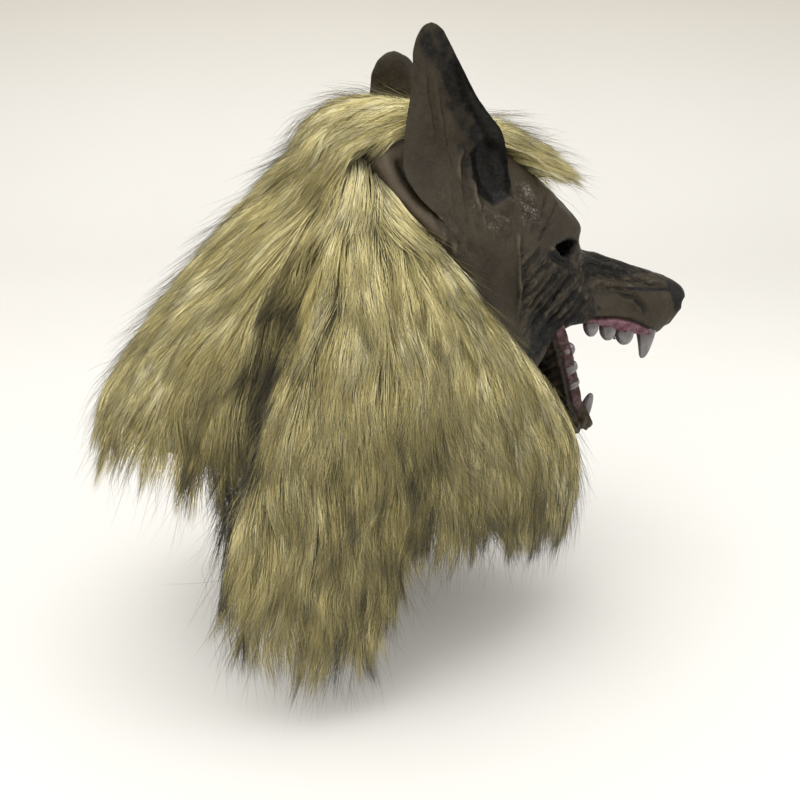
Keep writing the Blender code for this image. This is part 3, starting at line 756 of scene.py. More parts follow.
def face_skin():
    mesh, uv = grid_mesh("latex_face_skin", 196, 220, face_place)
    facing_out(mesh, (0, -60, -110))
    p, n = points_of(mesh), normals_of(mesh)
    p, height = sculpt_face(p, n)
    set_points(mesh, p)
    y, z, x = p[:, 1], p[:, 2], np.abs(p[:, 0])
    edge = np.abs(uv[:, 0] - 0.5)
    nose = inside(y, z, [(-198, -100), (-240, -100), (-240, -152), (-213, -148), (-207, -136), (-203, -124)], 3)
    stripe = np.exp(-((line_gap(y, z, [(-152, -114), (-173, -118), (-207, -123)])[0] / 1.3) ** 2)) * step(x, 6, 10)
    stripe *= 0.9 * step(-y, 150, 172)
    # painted shade: the socket under each brow is painted dark
    socket = 1.7 * mound(p, (42, -110, -82), (9, 11, 6))
    pad = 0.5 * np.exp(-((line_gap(y, z, [(-153, -118), (-166, -122), (-175, -130), (-176, -136)])[0] / 1.6) ** 2))
    top = inside(y, z, [(-126, -80), (-204, -106), (-204, -114), (-130, -106)], 8)
    smudge = inside(y, z, [(-98, -88), (-134, -96), (-140, -134), (-96, -146), (-72, -150), (-76, -112)], 14)
    shade = 0.66 * top * (0.85 + 0.45 * wave(p, 8, 11)) + 0.50 * smudge * (0.80 + 0.5 * wave(p, 7, 12)) + 0.10
    # painted shade: the dark of the socket runs back behind the eye
    socket += 0.75 * mound(p, (52, -96, -83), (14, 15, 5.5))
    corner = inside(y, z, [(-84, -128), (-122, -130), (-118, -146), (-92, -160), (-66, -160)], 12)
    shade += 0.40 * corner * (0.8 + 0.5 * wave(p, 6, 13))
    # black paint and painted shade: the hollow under the front root of each ear is painted black
    under_ear = 1.2 * inside(y, z, EAR_POCKET, 8) * step(np.abs(n[:, 0]), 0.2, 0.5)
    dark = np.clip(nose + stripe + socket + pad + shade + under_ear, 0, 1)
    outer = 1 - step(edge, 0.44, 0.46)
    gum_drop = z - np.interp(-y, [-a for a, b in GUM_LINE], [b for a, b in GUM_LINE])
    lip = 0.85 * (1 - step(gum_drop, -2.6, 2.2)) * step(-y, 122, 132) * step(edge, 0.25, 0.30)
    inner = step(edge, 0.455, 0.475) * step(-y, 100, 110)
    pink = np.clip(lip + inner, 0, 1) * (1 - nose)
    side = step(np.abs(n[:, 0]), 0.15, 0.5)
    cheek = inside(y, z, [(-64, -76), (-124, -84), (-132, -128), (-100, -146), (-64, -158)], 8) * side * outer
    snout = np.clip(1.2 * inside(y, z, [(-122, -78), (-206, -104), (-206, -118), (-126, -116)], 9), 0, 1)
    crackle = inside(y, z, [(-40, -42), (-60, -42), (-60, -60), (-40, -60)], 7) * side
    crackle = np.maximum(crackle, inside(y, z, [(-66, -38), (-80, -38), (-82, -60), (-68, -60)], 7) * side)
    paint_layer(mesh, dark * (1 - 0.8 * lip), pink, 0.5 + height * 0.17, cheek, snout * (1 - nose), crackle)
    return mesh


EYE_SLOT = ((29.0, -80.5), (37, -76.5), (50, -77.5), (50.5, -82.5), (42, -88), (32, -87))


def cut_eyes():
    """Opens a leaning three-cornered slot under each brow, through the finished wall."""
    tools = []
    for way in (-1, 1):
        bm = bmesh.new()
        outline = [(way * x, -150.0, z) for x, z in EYE_SLOT]
        ring = [bm.verts.new(Vector(q) * MM) for q in outline]
        base = bm.faces.new(ring)
        moved = bmesh.ops.extrude_face_region(bm, geom=[base])
        bmesh.ops.translate(
            bm, verts=[v for v in moved["geom"] if isinstance(v, bmesh.types.BMVert)], vec=(0, 0.062, 0)
        )
        bmesh.ops.bevel(
            bm, geom=[e for e in bm.edges if abs(e.verts[0].co.y - e.verts[1].co.y) > 0.03], offset=0.0016,
            offset_type="OFFSET", segments=4, profile=0.5, affect="EDGES", material=-1
        )
        bmesh.ops.recalc_face_normals(bm, faces=bm.faces)
        tool = bpy.data.meshes.new("eye_tool")
        bm.to_mesh(tool)
        bm.free()
        paint_layer(tool, np.ones(len(tool.vertices)), 0.0, np.zeros(len(tool.vertices)))
        tools.append(bpy.data.objects.new("eye_tool", tool))
        bpy.context.scene.collection.objects.link(tools[-1])
    return tools


def finished_mesh(thing, tools=()):
    """The object's mesh with its modifiers applied, in place of the one it had."""
    bpy.context.view_layer.update()
    whole = bpy.data.meshes.new_from_object(thing.evaluated_get(bpy.context.evaluated_depsgraph_get()))
    thing.modifiers.clear()
    thing.data = whole
    for tool in tools:
        bpy.data.objects.remove(tool, do_unlink=True)
    return whole


def thicken(thing, thick):
    wall = thing.modifiers.new("wall", "SOLIDIFY")
    wall.thickness = thick * MM
    wall.offset = -1
    wall.use_even_offset = False
    wall.use_rim = True
    return wall


def walled(name, mesh, finish, thick):
    """An object of this mesh with a wall of even thickness."""
    thing = link(name, mesh, finish)
    thicken(thing, thick)
    finished_mesh(thing)
    thing.data.shade_smooth()
    return thing


LATEX_WALL, THROAT_WALL, GUM_WALL, CLOTH_WALL = 2.4, 2.0, 1.6, 1.2
face = link("latex_face_skin", face_skin(), LATEX)
thicken(face, LATEX_WALL)
eye_tools = cut_eyes()
for tool in eye_tools:
    slot = face.modifiers.new("eye_slot", "BOOLEAN")
    slot.operation, slot.solver, slot.object = "DIFFERENCE", "FAST", tool
finished_mesh(face, eye_tools)
# painted shade: the walls of the eye slots are painted black for the shade inside them
for label, inner in (("paint", (1, 0, 0.3, 1)), ("creases", (0, 0, 0, 1))):  # the walls of the eye slots are black
    layer = face.data.color_attributes[label].data
    shades = np.empty(len(layer) * 4, np.float32)
    layer.foreach_get("color", shades)
    shades = shades.reshape(-1, 4)
    shades[(shades[:, :3].min(axis=1) > 0.97) & (points_of(face.data)[:, 2] > -110)] = inner
    layer.foreach_set("color", shades.ravel())
face.data.shade_smooth()
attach(face, "head")
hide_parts("latex_face")

# ------------------------------------------------------------------ the jaw skin
ALONG = np.array([0, -0.382, -0.9242])  # mouth corner to chin
DEEP = np.array([0, 0.9242, -0.382])  # away from the mouth
CORNER = np.array([0, -107.0, -142.0])
JAW = [
    (-10, 46.5, 34), (-2, 47, 35), (16, 44, 33), (34, 38, 29), (52, 31, 24), (66, 24, 20), (80, 18.5, 17.5),
    (92, 11.5, 15), (97.5, 3.5, 11)
]


def jaw_net():
    rows = []
    for along, half, deep in JAW:
        base = CORNER + along * ALONG
        ring = []
        for k in range(15):
            a = math.pi * k / 14
            low = math.sin(a) ** 0.7
            ring.append(base + np.array([-math.cos(a) * half, 0, 0]) + (low * deep - 3) * DEEP)
        rows.append(ring)
    return np.array(rows)


def jaw_skin():
    mesh, _ = grid_mesh(
        "latex_jaw_skin", 168, 110, lambda u,
        v: on_net(jaw_net(), v, 0.5 - 0.5 * np.cos(math.pi * (0.08 + 0.84 * u)) / math.cos(math.pi * 0.08))
    )
    facing_out(mesh, CORNER + 45 * ALONG)
    p, n = points_of(mesh), normals_of(mesh)
    rel = p - CORNER
    along, deep = rel @ ALONG, rel @ DEEP
    folds = np.zeros(len(p))
    for start, slope, size in (
        (4, 0.75, 1.8), (11, 0.6, 1.4), (19, 0.5, 1.5), (30, 0.35, 1.1), (42, 0.2, 1.0), (55, 0.1, 0.8),
        (67, 0.0, 0.8), (75, 0.0, 0.7)
    ):
        folds += -size * np.exp(
            -(((along - start - slope * deep - 2.0 * wave(p, 16, start)) / 1.8) ** 2)
        ) * step(deep, 2, 9)
    chin = step(along, 70, 83)
    knob = 2.6 * chin * (0.4 + 0.9 * wave(p, 6.5, 3)) + 2.0 * np.exp(-(((along - 91) / 5) ** 2))
    band = step(deep, 6.5, 4.5)
    lip = 1.5 * np.exp(-(((deep - 8.0) / 2.0) ** 2)) - 1.3 * np.exp(-(((deep - 5.4) / 0.9) ** 2))
    swell = 0.9 * band * (1 - chin) * np.cos((along - 20) * 2 * math.pi / 20)
    p = p + n * (folds + knob + lip + swell + 0.5 * wave(p, 18, 5) + 0.25 * wave(p, 6, 6))[:, None]
    p[:, 1] -= 5.0 * step(along, 62, 90)
    set_points(mesh, p)
    smudge = 0.40 * step(along, 20, -4) + 0.30 * step(along, 66, 80) + 0.22 * wave(p, 9, 8)
    pink = 0.52 * band * (1 - 0.75 * step(along, 70, 80))
    paint_layer(mesh, smudge * (1 - band), pink, 0.5 + 0.2 * folds + 0.10 * knob, 0.55 * (1 - band), 0.0, 0.0)
    return mesh


jaw = walled("latex_jaw_skin", jaw_skin(), LATEX, LATEX_WALL)
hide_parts("latex_jaw")
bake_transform(jaw)


def throat_place(u, v):
    """The throat behind the jaw: from one edge of the mane, round behind the jaw, to the other edge."""
    z = -150 - 86 * v
    half = np.interp(-z, [150, 176, 204, 219, 236], [76, 62, 45, 33, 12])
    edge_y = np.interp(-z, [150, 176, 204, 219, 236], [-74, -96, -115, -126, -134])
    back_y = np.interp(-z, [150, 168, 198, 221, 236], [-58, -72, -95, -112, -126])
    s = 2 * u - 1
    return np.stack([s * half, edge_y + (back_y - edge_y) * np.cos(s * math.pi / 2) ** 0.8 + 0.5, z], -1)


throat_mesh, _ = grid_mesh("latex_throat", 60, 44, throat_place)
facing_out(throat_mesh, (0, 0, -190))
spots, ways = points_of(throat_mesh), normals_of(throat_mesh)
set_points(throat_mesh, spots + ways * (1.2 * wave(spots, 15, 2) + 0.5 * wave(spots, 5, 3))[:, None])
paint_layer(throat_mesh, 0.45 + 0.3 * wave(spots, 12, 5), 0.0, 0.5 + 0.2 * wave(spots, 15, 2), 0.5)
throat = walled("latex_throat", throat_mesh, LATEX, THROAT_WALL)
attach(throat, "head")
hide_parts("latex_face")

# ------------------------------------------------------------------ ears
# from root to tip: rear edge (y, z), front edge (y, z), |x| of the rear edge, of the front edge, depth of the cup
EAR = [
    ((-26, -74), (-54, -70), 80, 70, 1),
    ((-18, -64), (-57, -60), 80, 71, 3),
    ((-7, -50), (-58.5, -50), 78, 70.5, 6),
    ((5, -38), (-58, -40), 76, 69.5, 9),
    ((12.5, -24), (-56, -28), 73, 68, 12),
    ((12.5, -10), (-53.5, -14), 69, 67, 13),
    ((10.5, 3), (-49, -1), 66, 66, 12.5),
    ((7.5, 16), (-39, 12), 63, 62, 11),
    ((5.5, 29), (-30.5, 26), 60.5, 59.5, 9),
    ((4.5, 41), (-23, 40), 58.5, 58, 6),
    ((2.5, 50), (-18, 49.5), 57, 57, 4),
    ((-0.5, 56), (-14.5, 55.5), 56, 56, 2),
    ((-3.5, 58.8), (-11, 58.4), 55.5, 55.5, 1),
    ((-6.8, 60), (-7.6, 60), 55, 55, 0),
]
EAR_RIDGES = [
    ([(-8, 38), (-13, 12), (-15, -10), (-20, -26), (-20, -44)], 1.7, 1.6),
    ([(-1, 44), (-4, 24), (-7, 4), (-8, -16)], 1.5, 0.8),
    ([(-30, -10), (-25, -20), (-24, -38)], 1.9, 2.6),
    ([(-37, -28), (-34, -40), (-36, -54)], 1.9, 3.0),
]
EAR_HOLLOWS = [
    ([(-29, -16), (-29, -32), (-29, -50)], 2.4, 2.0),
    ([(-18, 40), (-25, 14), (-31, -8)], 4.0, 1.6),
    ([(-16, -12), (-20, -20), (-22, -36)], 1.2, 1.0),
    ([(-4, 36), (-9, 10), (-11, -10)], 1.2, 0.7),
]


def ear_place(way):
    rows = np.array([[*rear, *front, a, b, cup] for rear, front, a, b, cup in EAR], float)[:, None, :]
    net = np.repeat(rows, 2, axis=1)

    def place(u, v):
        row = [on_net(net[:, :, pick], v, u * 0) for pick in ([0, 1, 2], [3, 4, 5], [6, 6, 6])]
        rear_y, rear_z, front_y = row[0].T
        front_z, rear_x, front_x = row[1].T
        cup = row[2][:, 0]
        turn = 2 * math.pi * u
        s = -np.cos(turn)
        share = 0.5 + 0.5 * s
        y = rear_y + share * (front_y - rear_y)
        z = rear_z + share * (front_z - rear_z)
        thick = 2.3 * np.sin(turn) * (
            0.25 + 0.75 * np.clip(np.hypot(front_y - rear_y, front_z - rear_z) / 16, 0, 1)
        )
        bowl = np.clip(1 - s * s, 0, 1) ** 0.85 * (1 + 0.45 * s)
        shoulder = 3.5 * np.exp(-(((s - 0.80) / 0.14) ** 2)) * np.exp(-(((v - 0.40) / 0.16) ** 2))
        x = rear_x + share * (front_x - rear_x) - cup * bowl + thick + shoulder
        return np.stack([way * x, y, z], -1)

    return place


def ear_skin(side, way):
    mesh, _ = grid_mesh(f"ear_{side}_skin", 128, 120, ear_place(way))
    bm = bmesh.new()
    bm.from_mesh(mesh)
    bmesh.ops.remove_doubles(bm, verts=bm.verts, dist=0.00002)
    bmesh.ops.holes_fill(bm, edges=[e for e in bm.edges if e.is_boundary], sides=0)
    bmesh.ops.recalc_face_normals(bm, faces=bm.faces)
    bm.to_mesh(mesh)
    bm.free()
    p, n = points_of(mesh), normals_of(mesh)
    outer = step(n[:, 0] * way, -0.1, 0.35)
    y, z = p[:, 1] + 0.8 * wave(p, 12, 1), p[:, 2] + 0.8 * wave(p, 14, 2)
    fine = np.zeros(len(p))
    for line, width, height in EAR_RIDGES:
        fine += ridge(y, z, line, width, height, 0.25)
    for line, width, depth in EAR_HOLLOWS:
        fine += fold(y, z, line, width, depth, 0.2)
    pocket = inside(y, z, EAR_POCKET, 9)
    p = p + n * (outer * fine * (1 - pocket) + 0.4 * wave(p, 20, 7) + 0.2 * wave(p, 7, 8))[:, None]
    p[:, 0] -= way * 6.0 * pocket
    lay = inside(p[:, 1], p[:, 2], [(4, 58), (-50, 58), (-60, -30), (-34, -30)], 22)
    if way > 0:  # this ear lies back and in a little
        bent = step(p[:, 2], -40, 60)
        p[:, 0] -= 13.0 * bent
        p[:, 1] = -6 + (p[:, 1] + 6) * (1 + 0.42 * bent) + 3.0 * bent
        p[:, 2] -= 16.0 * bent
    set_points(mesh, p)
    shade = 0.40 * lay * (0.8 + 0.5 * wave(p, 10, 9)) + 0.24 + 0.12 * wave(p, 24, 2)
    # black paint and painted shade: the pocket at the ear's front root, and the cup along its front edge, are painted
    # dark
    front = inside(y, z, [(-24, 42), (-42, 12), (-60, -12), (-44, -14), (-32, 10), (-18, 40)], 12) * outer
    dark = np.clip(1.3 * pocket + shade * outer + 0.3 * front, 0, 1)
    root = step(p[:, 2], -30, -58) if way < 0 else step(np.abs(p[:, 2] - 12), 16, 4) * 0.7
    paint_layer(
        mesh, dark, np.zeros(len(p)), 0.46 + 0.13 * fine, 0.0, 0.0, 0.6 * root * (0.5 + 0.5 * wave(p, 16, 3))
    )
    thing = link(f"ear_{side}_skin", mesh, LATEX)
    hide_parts(f"ear_{side}")
    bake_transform(thing)


for side, way in (("right", -1), ("left", 1)):
    ear_skin(side, way)

# ------------------------------------------------------------------ gums and teeth
ROOF = [
    (-100, 39.0), (-112, 40.0), (-126, 38.0), (-145, 34.5), (-160, 31.0), (-174, 27.5), (-186, 21.5), (-193, 14.0)
]
ROOF_Z = [
    (-100, -138), (-112, -136), (-126, -136.5), (-145, -141), (-160, -146), (-174, -150), (-186, -152), (-193, -153)
]
FLOOR = [(-6, 41), (4, 41), (20, 37), (38, 31), (54, 25), (66, 19), (76, 14.5), (86, 9), (92, 5)]


def roof_at(y):
    return np.interp(-np.asarray(y, float), [-p[0] for p in ROOF], [p[1] for p in ROOF]), np.interp(
        -np.asarray(y, float), [-p[0] for p in ROOF_Z], [p[1] for p in ROOF_Z]
    )


def floor_at(along):
    return np.interp(along, [p[0] for p in FLOOR], [p[1] for p in FLOOR])


UPPER = [
    ("cheek_tooth", 1, -132.5, 11.0, 12.0, 9.5), ("cheek_tooth", 2, -147, 12.0, 13.5, 10.5),
    ("cheek_tooth", 3, -162, 12.5, 15.5, 10.5)
]
LOWER = [
    ("cheek_tooth", 1, 15, 10.5, 14.0, 9.5), ("cheek_tooth", 2, 31, 9.5, 13.0, 9.5),
    ("cheek_tooth", 3, 46, 8.5, 12.0, 9.0)
]


def upper_gum():
    """Roof of the mouth with a raised gum along its edge that swells round each tooth."""

    def place(u, v):
        y = -100 - 92 * v
        half, z = roof_at(y)
        s = 2 * u - 1
        across = np.abs(s)
        arch = 9.0 * (1 - across**2.2)
        band = np.exp(-(((across - 0.86) / 0.12) ** 2))
        swell = sum(np.exp(-(((y - t[2]) / (t[4] * 0.55)) ** 2)) for t in UPPER) + np.exp(-(((y + 178) / 8) ** 2))
        rugae = 0.8 * np.sin(y * 0.75) * np.exp(-((s / 0.55) ** 2))
        out = half * np.sign(s) * across**0.9
        return np.stack(
            [out, y - 3.0 * (1 - across) * step(v, 0.85, 1.0), z + arch - band * (2.0 + 2.2 * swell) + rugae], -1
        )

    mesh, _ = grid_mesh("upper_gum_lining", 80, 120, place)
    facing_out(mesh, (0, -140, -100))
    thing = walled("upper_gum_lining", mesh, GUM, GUM_WALL)
    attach(thing, "head")
    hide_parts("upper_gum")


def lower_gum():
    def place(u, v):
        along = -5 + 95 * v
        half = floor_at(along)
        s = 2 * u - 1
        across = np.abs(s)
        dish = 7.0 * (1 - across**2.0)
        band = np.exp(-(((across - 0.84) / 0.13) ** 2))
        swell = sum(
            np.exp(-(((along - t[2]) / (t[4] * 0.6)) ** 2)) for t in LOWER
        ) + np.exp(-(((along - 79) / 6) ** 2))
        return (
            CORNER
            - np.stack([0 * s, 5.0 * step(along, 62, 90), 0 * s], -1)
            + along[:, None] * ALONG
            + np.stack([half * np.sign(s) * across**0.9, 0 * s, 0 * s], -1)
            + (2.5 + dish - band * (2.0 + 2.0 * swell))[:, None] * DEEP
        )

    mesh, _ = grid_mesh("lower_gum_lining", 76, 110, place)
    facing_out(mesh, CORNER + 50 * ALONG + 60 * DEEP)
    thing = walled("lower_gum_lining", mesh, GUM, GUM_WALL)
    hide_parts("lower_gum")
    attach(thing, "jaw")


upper_gum()
lower_gum()


def tooth(node, body, root, way, lean, length, long_, wide, rings, sides=20):
    """A tooth grown from a disc by drawing it out ring by ring. long_ is its size along the row of teeth, wide across
    it, rings the (share of length, share of width) of each ring."""
    way, lean = unit(np.asarray(way, float)), np.asarray(lean, float)
    row = unit(np.array([0, -1.0, -0.1]) if body == "head" else ALONG)
    row = unit(row - way * (row @ way))
    cheek = np.cross(way, row)
    bm = bmesh.new()
    bmesh.ops.create_circle(bm, cap_ends=True, segments=sides, radius=1.0)
    level = list(bm.verts)
    angle = {v: math.atan2(v.co.y, v.co.x) for v in level}
    share_of = {}

    def set_ring(verts, share, size):
        centre = root + way * length * share + lean * share * share
        for vert in verts:
            a = angle[vert]
            vert.co = Vector(
                (centre + size * (row * long_ / 2 * math.cos(a) + cheek * wide / 2 * math.sin(a))) * MM
            )
            share_of[vert] = share

    top = next(iter(bm.faces))
    set_ring(level, *rings[0])
    for share, size in rings[1:]:
        fresh, top = drawn_out(bm, top)
        for vert in fresh:
            angle[vert] = angle[min(level, key=lambda below: (below.co - vert.co).length_squared)]
        level = fresh
        set_ring(level, share, size)
    bmesh.ops.recalc_face_normals(bm, faces=bm.faces)
    layer = bm.loops.layers.uv.new("OFBake")
    for face_ in bm.faces:
        for loop in face_.loops:
            loop[layer].uv = (
                0.2 + 0.6 * (math.atan2(loop.vert.co.x, loop.vert.co.y) / (2 * math.pi) + 0.5),
                0.02 + 0.96 * share_of[loop.vert]
            )
    mesh = bpy.data.meshes.new(node + "_cast")
    bm.to_mesh(mesh)
    bm.free()
    thing = link(node + "_cast", mesh, TOOTH)
    soften = thing.modifiers.new("rounding", "SUBSURF")
    soften.levels = soften.render_levels = 1
    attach(thing, body)
    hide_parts(node)


PEARL = [(-0.35, 0.80), (0.0, 0.98), (0.30, 1.0), (0.62, 0.86), (0.86, 0.55), (0.97, 0.25)]
FANG = [(-0.18, 1.0), (0.05, 1.0), (0.30, 0.82), (0.55, 0.66), (0.78, 0.50), (0.93, 0.33), (0.99, 0.14)]
STUB = [(-0.18, 1.0), (0.05, 1.0), (0.35, 0.92), (0.62, 0.76), (0.84, 0.55), (0.96, 0.26)]
CHISEL = [(-0.3, 0.9), (0.0, 1.0), (0.4, 0.95), (0.75, 0.75), (0.95, 0.40)]
for side, way in (("right", -1), ("left", 1)):
    for kind, k, y, length, long_, wide in UPPER:
        half, z = roof_at(y)
        tooth(
            f"upper_{kind}_{side}_{k}", "head", np.array([way * (float(half) - 2.0), y, float(z) + 0.5]),
            (way * 0.22, -0.05, -1), (0, 0, 0), length, long_, wide, PEARL
        )
    half, z = roof_at(-180)
    tooth(
        f"upper_canine_{side}", "head", np.array([way * (float(half) - 2.0), -183, float(z) + 1.0]),
        (way * 0.08, -0.08, -1), (0, 3.5, 0), 22.0, 16.5, 10.5, FANG
    )
    for k, (x, y) in enumerate(((3.2, -194.0), (8.8, -192.0), (13.6, -188.5))):
        half, z = roof_at(y)
        tooth(
            f"upper_incisor_{side}_{k + 1}", "head", np.array([way * x, y, float(z) - 1.0]), (way * 0.1, -0.15, -1),
            (0, 0, 0), 6.5 + 0.7 * k, 5.4, 5.0, CHISEL, 14
        )
    for kind, k, along, length, long_, wide in LOWER:
        root = CORNER + along * ALONG + 3.0 * DEEP + np.array([way * (floor_at(along) + 0.5), 0, 0])
        tooth(
            f"lower_{kind}_{side}_{k}", "jaw", root, (way * 0.30, -0.9242, 0.382), (0, 0, 0), length, long_, wide,
            PEARL
        )
    root = CORNER + 79 * ALONG + 0.5 * DEEP + np.array([way * (floor_at(79) + 2.0), -5.5, 0])
    tooth(f"lower_canine_{side}", "jaw", root, (way * 0.16, -0.22, 1), (0, 0, 0), 17.0, 9.5, 9.0, STUB)
    for k, (x, along) in enumerate(((3.2, 92.0), (8.0, 89.0))):
        root = CORNER + along * ALONG + 2.0 * DEEP + np.array([way * x, -5.0, 0])
        tooth(
            f"lower_incisor_{side}_{k + 1}", "jaw", root, (way * 0.1, -0.9242, 0.382), (0, 0, 0), 6.5, 4.6, 4.6,
            CHISEL, 14
        )

# ------------------------------------------------------------------ the fur
MANE = {  # outer lie of the fur, degrees round the head from the back: top edge to hem
    0: [(0, 50, 1), (0, 102, -46), (0, 155, -104), (0, 203, -163), (0, 222, -212)],
    18: [(-20, 48, -1), (-29, 93, -48), (-40, 143, -106), (-50, 180, -166), (-57, 196, -240)],
    33: [(-38, 41, -9), (-56, 75, -53), (-76, 110, -104), (-88, 134, -170), (-97, 150, -252)],
    42: [(-48, 35, -15), (-66, 65, -60), (-84, 90, -122), (-96, 116, -196), (-106, 135, -278)],
    52: [(-58, 28, -23), (-88, 58, -70), (-110, 92, -142), (-122, 124, -230), (-125, 146, -308)],
    72: [(-72, 17, -41), (-104, 30, -96), (-126, 46, -172), (-134, 74, -272), (-130, 98, -358)],
    88: [(-81, 4, -55), (-109, 12, -104), (-125, 20, -170), (-131, 38, -262), (-127, 48, -354)],
    99: [(-86, -9, -66), (-110, -6, -111), (-121, 0, -168), (-125, 8, -218), (-122, 14, -272)],
    125: [(-91, -35, -100), (-107, -42, -144), (-112, -46, -194), (-109, -48, -244), (-103, -48, -288)],
    145: [(-82, -68, -139), (-90, -78, -176), (-91, -84, -214), (-86, -86, -256), (-78, -84, -296)],
    160: [(-62, -100, -176), (-68, -106, -204), (-69, -109, -234), (-64, -110, -268), (-56, -108, -302)],
    172: [(-33, -128, -219), (-37, -129, -240), (-39, -129, -262), (-37, -128, -284), (-33, -125, -306)],
    180: [(0, -136, -232), (0, -137, -250), (0, -137, -268), (0, -136, -286), (0, -133, -306)],
}
ANGLES = np.array(sorted(MANE), float)
RING = np.concatenate([-ANGLES[1:][::-1], ANGLES])
RING_NET = np.array(
    [[(-x, y, z) for x, y, z in MANE[int(a)]] for a in ANGLES[1:][::-1]] + [MANE[int(a)] for a in ANGLES], float
)


def mane_at(degrees, t):
    """Points on the outer lie of the mane: degrees round from the back, positive to the right, t from edge to hem."""
    return on_net(RING_NET, np.interp(degrees, RING, np.arange(len(RING))) / (len(RING) - 1), t)


CROWN = [
    [
        (0, -141, -54), (0, -128, -39), (0, -102, -18), (0, -74, -3), (0, -38, 10), (0, 7, 17), (0, 46, 11),
        (0, 64, -2)
    ],
    [
        (19, -134, -54), (21, -121, -40), (23, -97, -20), (24, -71, -6), (27, -38, 7), (30, 6, 14), (29, 44, 7),
        (27, 60, -5)
    ],
    [
        (30, -117, -52), (32, -106, -42), (33, -90, -30), (34, -71, -15), (37, -40, -2), (47, 8, 2), (52, 34, -8),
        (48, 50, -16)
    ],
]
CROWN_NET = both_sides(CROWN)


def crown_at(u, v):
    return on_net(CROWN_NET, u, v)


def surface_frame(at, a, b):
    """Point, outward normal of a surface at (a, b)."""
    h = 0.004 * (b.max() - b.min() + 1e-6)
    g = 0.004 * (a.max() - a.min() + 1e-6)
    p = at(a, b)
    n = unit(np.cross(at(a + g, b) - at(a - g, b), at(a, b + h) - at(a, b - h)))
    return p, n


def outward(n, p, middle):
    return n * np.where(((p - middle) * n).sum(-1, keepdims=True) < 0, -1, 1)


def scatter(at, low, high, count, seed, weight=None):
    """Evenly spread (a, b) pairs over the surface between the corners low and high."""
    rng = np.random.default_rng(seed)
    k = 90
    a, b = np.meshgrid(np.linspace(low[0], high[0], k), np.linspace(low[1], high[1], k), indexing="ij")
    grid = at(a.ravel(), b.ravel()).reshape(k, k, 3)
    area = np.linalg.norm(np.cross(grid[1:, :-1] - grid[:-1, :-1], grid[:-1, 1:] - grid[:-1, :-1]), axis=-1)
    if weight is not None:
        area = area * weight(a[:-1, :-1], b[:-1, :-1])
    pick = rng.choice(area.size, count, p=(area / area.sum()).ravel())
    i, j = np.unravel_index(pick, area.shape)
    return (
        low[0] + (i + rng.random(count)) / (k - 1) * (high[0] - low[0]),
        low[1] + (j + rng.random(count)) / (k - 1) * (high[1] - low[1]),
        rng,
    )


def fibre_template():
    """One fibre: a three-sided spike of three lengths, drawn out from a triangle and pinched at its tip."""
    bm = bmesh.new()
    bmesh.ops.create_circle(bm, cap_ends=True, segments=3, radius=1.0)
    top = next(iter(bm.faces))
    for level in range(1, LEVELS):
        fresh, top = drawn_out(bm, top)
        for vert in fresh:
            vert.co.z = level
    bmesh.ops.pointmerge(bm, verts=fresh, merge_co=sum((v.co for v in fresh), Vector()) / len(fresh))
    bmesh.ops.recalc_face_normals(bm, faces=bm.faces)
    bm.verts.index_update()
    points = np.array([v.co[:] for v in bm.verts])
    faces = [[v.index for v in f.verts] for f in bm.faces]
    bm.free()
    return points, faces


LEVELS = 4
FIBRE_POINTS, FIBRE_FACES = fibre_template()
GRAVITY = np.array([0, 0, -1.0])
FUR_BOX = (-150, -244, -376), (150, 243, 70)  # no fibre leaves this box
EAR_CLEAR = 43  # fibres beside the ears keep within this far of the middle
GUARD_SHARE = 0.12  # share of long, thin, dark hairs
SMALL_LOCK, LARGE_LOCK = 15, 120  # fibres in a lock


def outer_lie():
    """The outer surface that all the fur lies along, as one search tree."""
    whole = bmesh.new()
    for at, low, high, across, along in (
        (mane_at, (-180.0, 0.0), (180.0, 1.0), 240, 44), (crown_at, (0.0, 0.1), (1.0, 1.0), 26, 60)
    ):
        mesh, _ = grid_mesh(
            "lie", across, along, lambda u, v: at(low[0] + u * (high[0] - low[0]), low[1] + v * (high[1] - low[1]))
        )
        whole.from_mesh(mesh)
        bpy.data.meshes.remove(mesh)
    tree = BVHTree.FromBMesh(whole)
    whole.free()
    return tree


LIE = outer_lie()
MANE_MIDDLE, CROWN_MIDDLE = np.array([0, 0, -140.0]), np.array([0, -30, -90])


def under(points):
    """The nearest spot of the lie to each point, and the way out there."""
    spots, ways = np.empty_like(points), np.empty_like(points)
    for k, q in enumerate(points * MM):
        spots[k], ways[k] = LIE.find_nearest(q)[:2]
    spots *= UNIT
    return spots, outward(ways, spots, MANE_MIDDLE)


def locks_of(p, per, rng, leads):
    """Gathers roots into locks: for each, the fibre that leads it, and how far out in the lock it stands, 0 to 1."""
    centres = rng.choice(np.flatnonzero(leads), max(8, len(p) // per), replace=False)
    tree = kdtree.KDTree(len(centres))
    for k, c in enumerate(centres):
        tree.insert(Vector(p[c]), k)
    tree.balance()
    found = [tree.find(Vector(q))[1:] for q in p]
    gap = np.array([f[1] for f in found])
    return centres[[f[0] for f in found]], np.clip(gap / np.percentile(gap, 94), 0, 1)


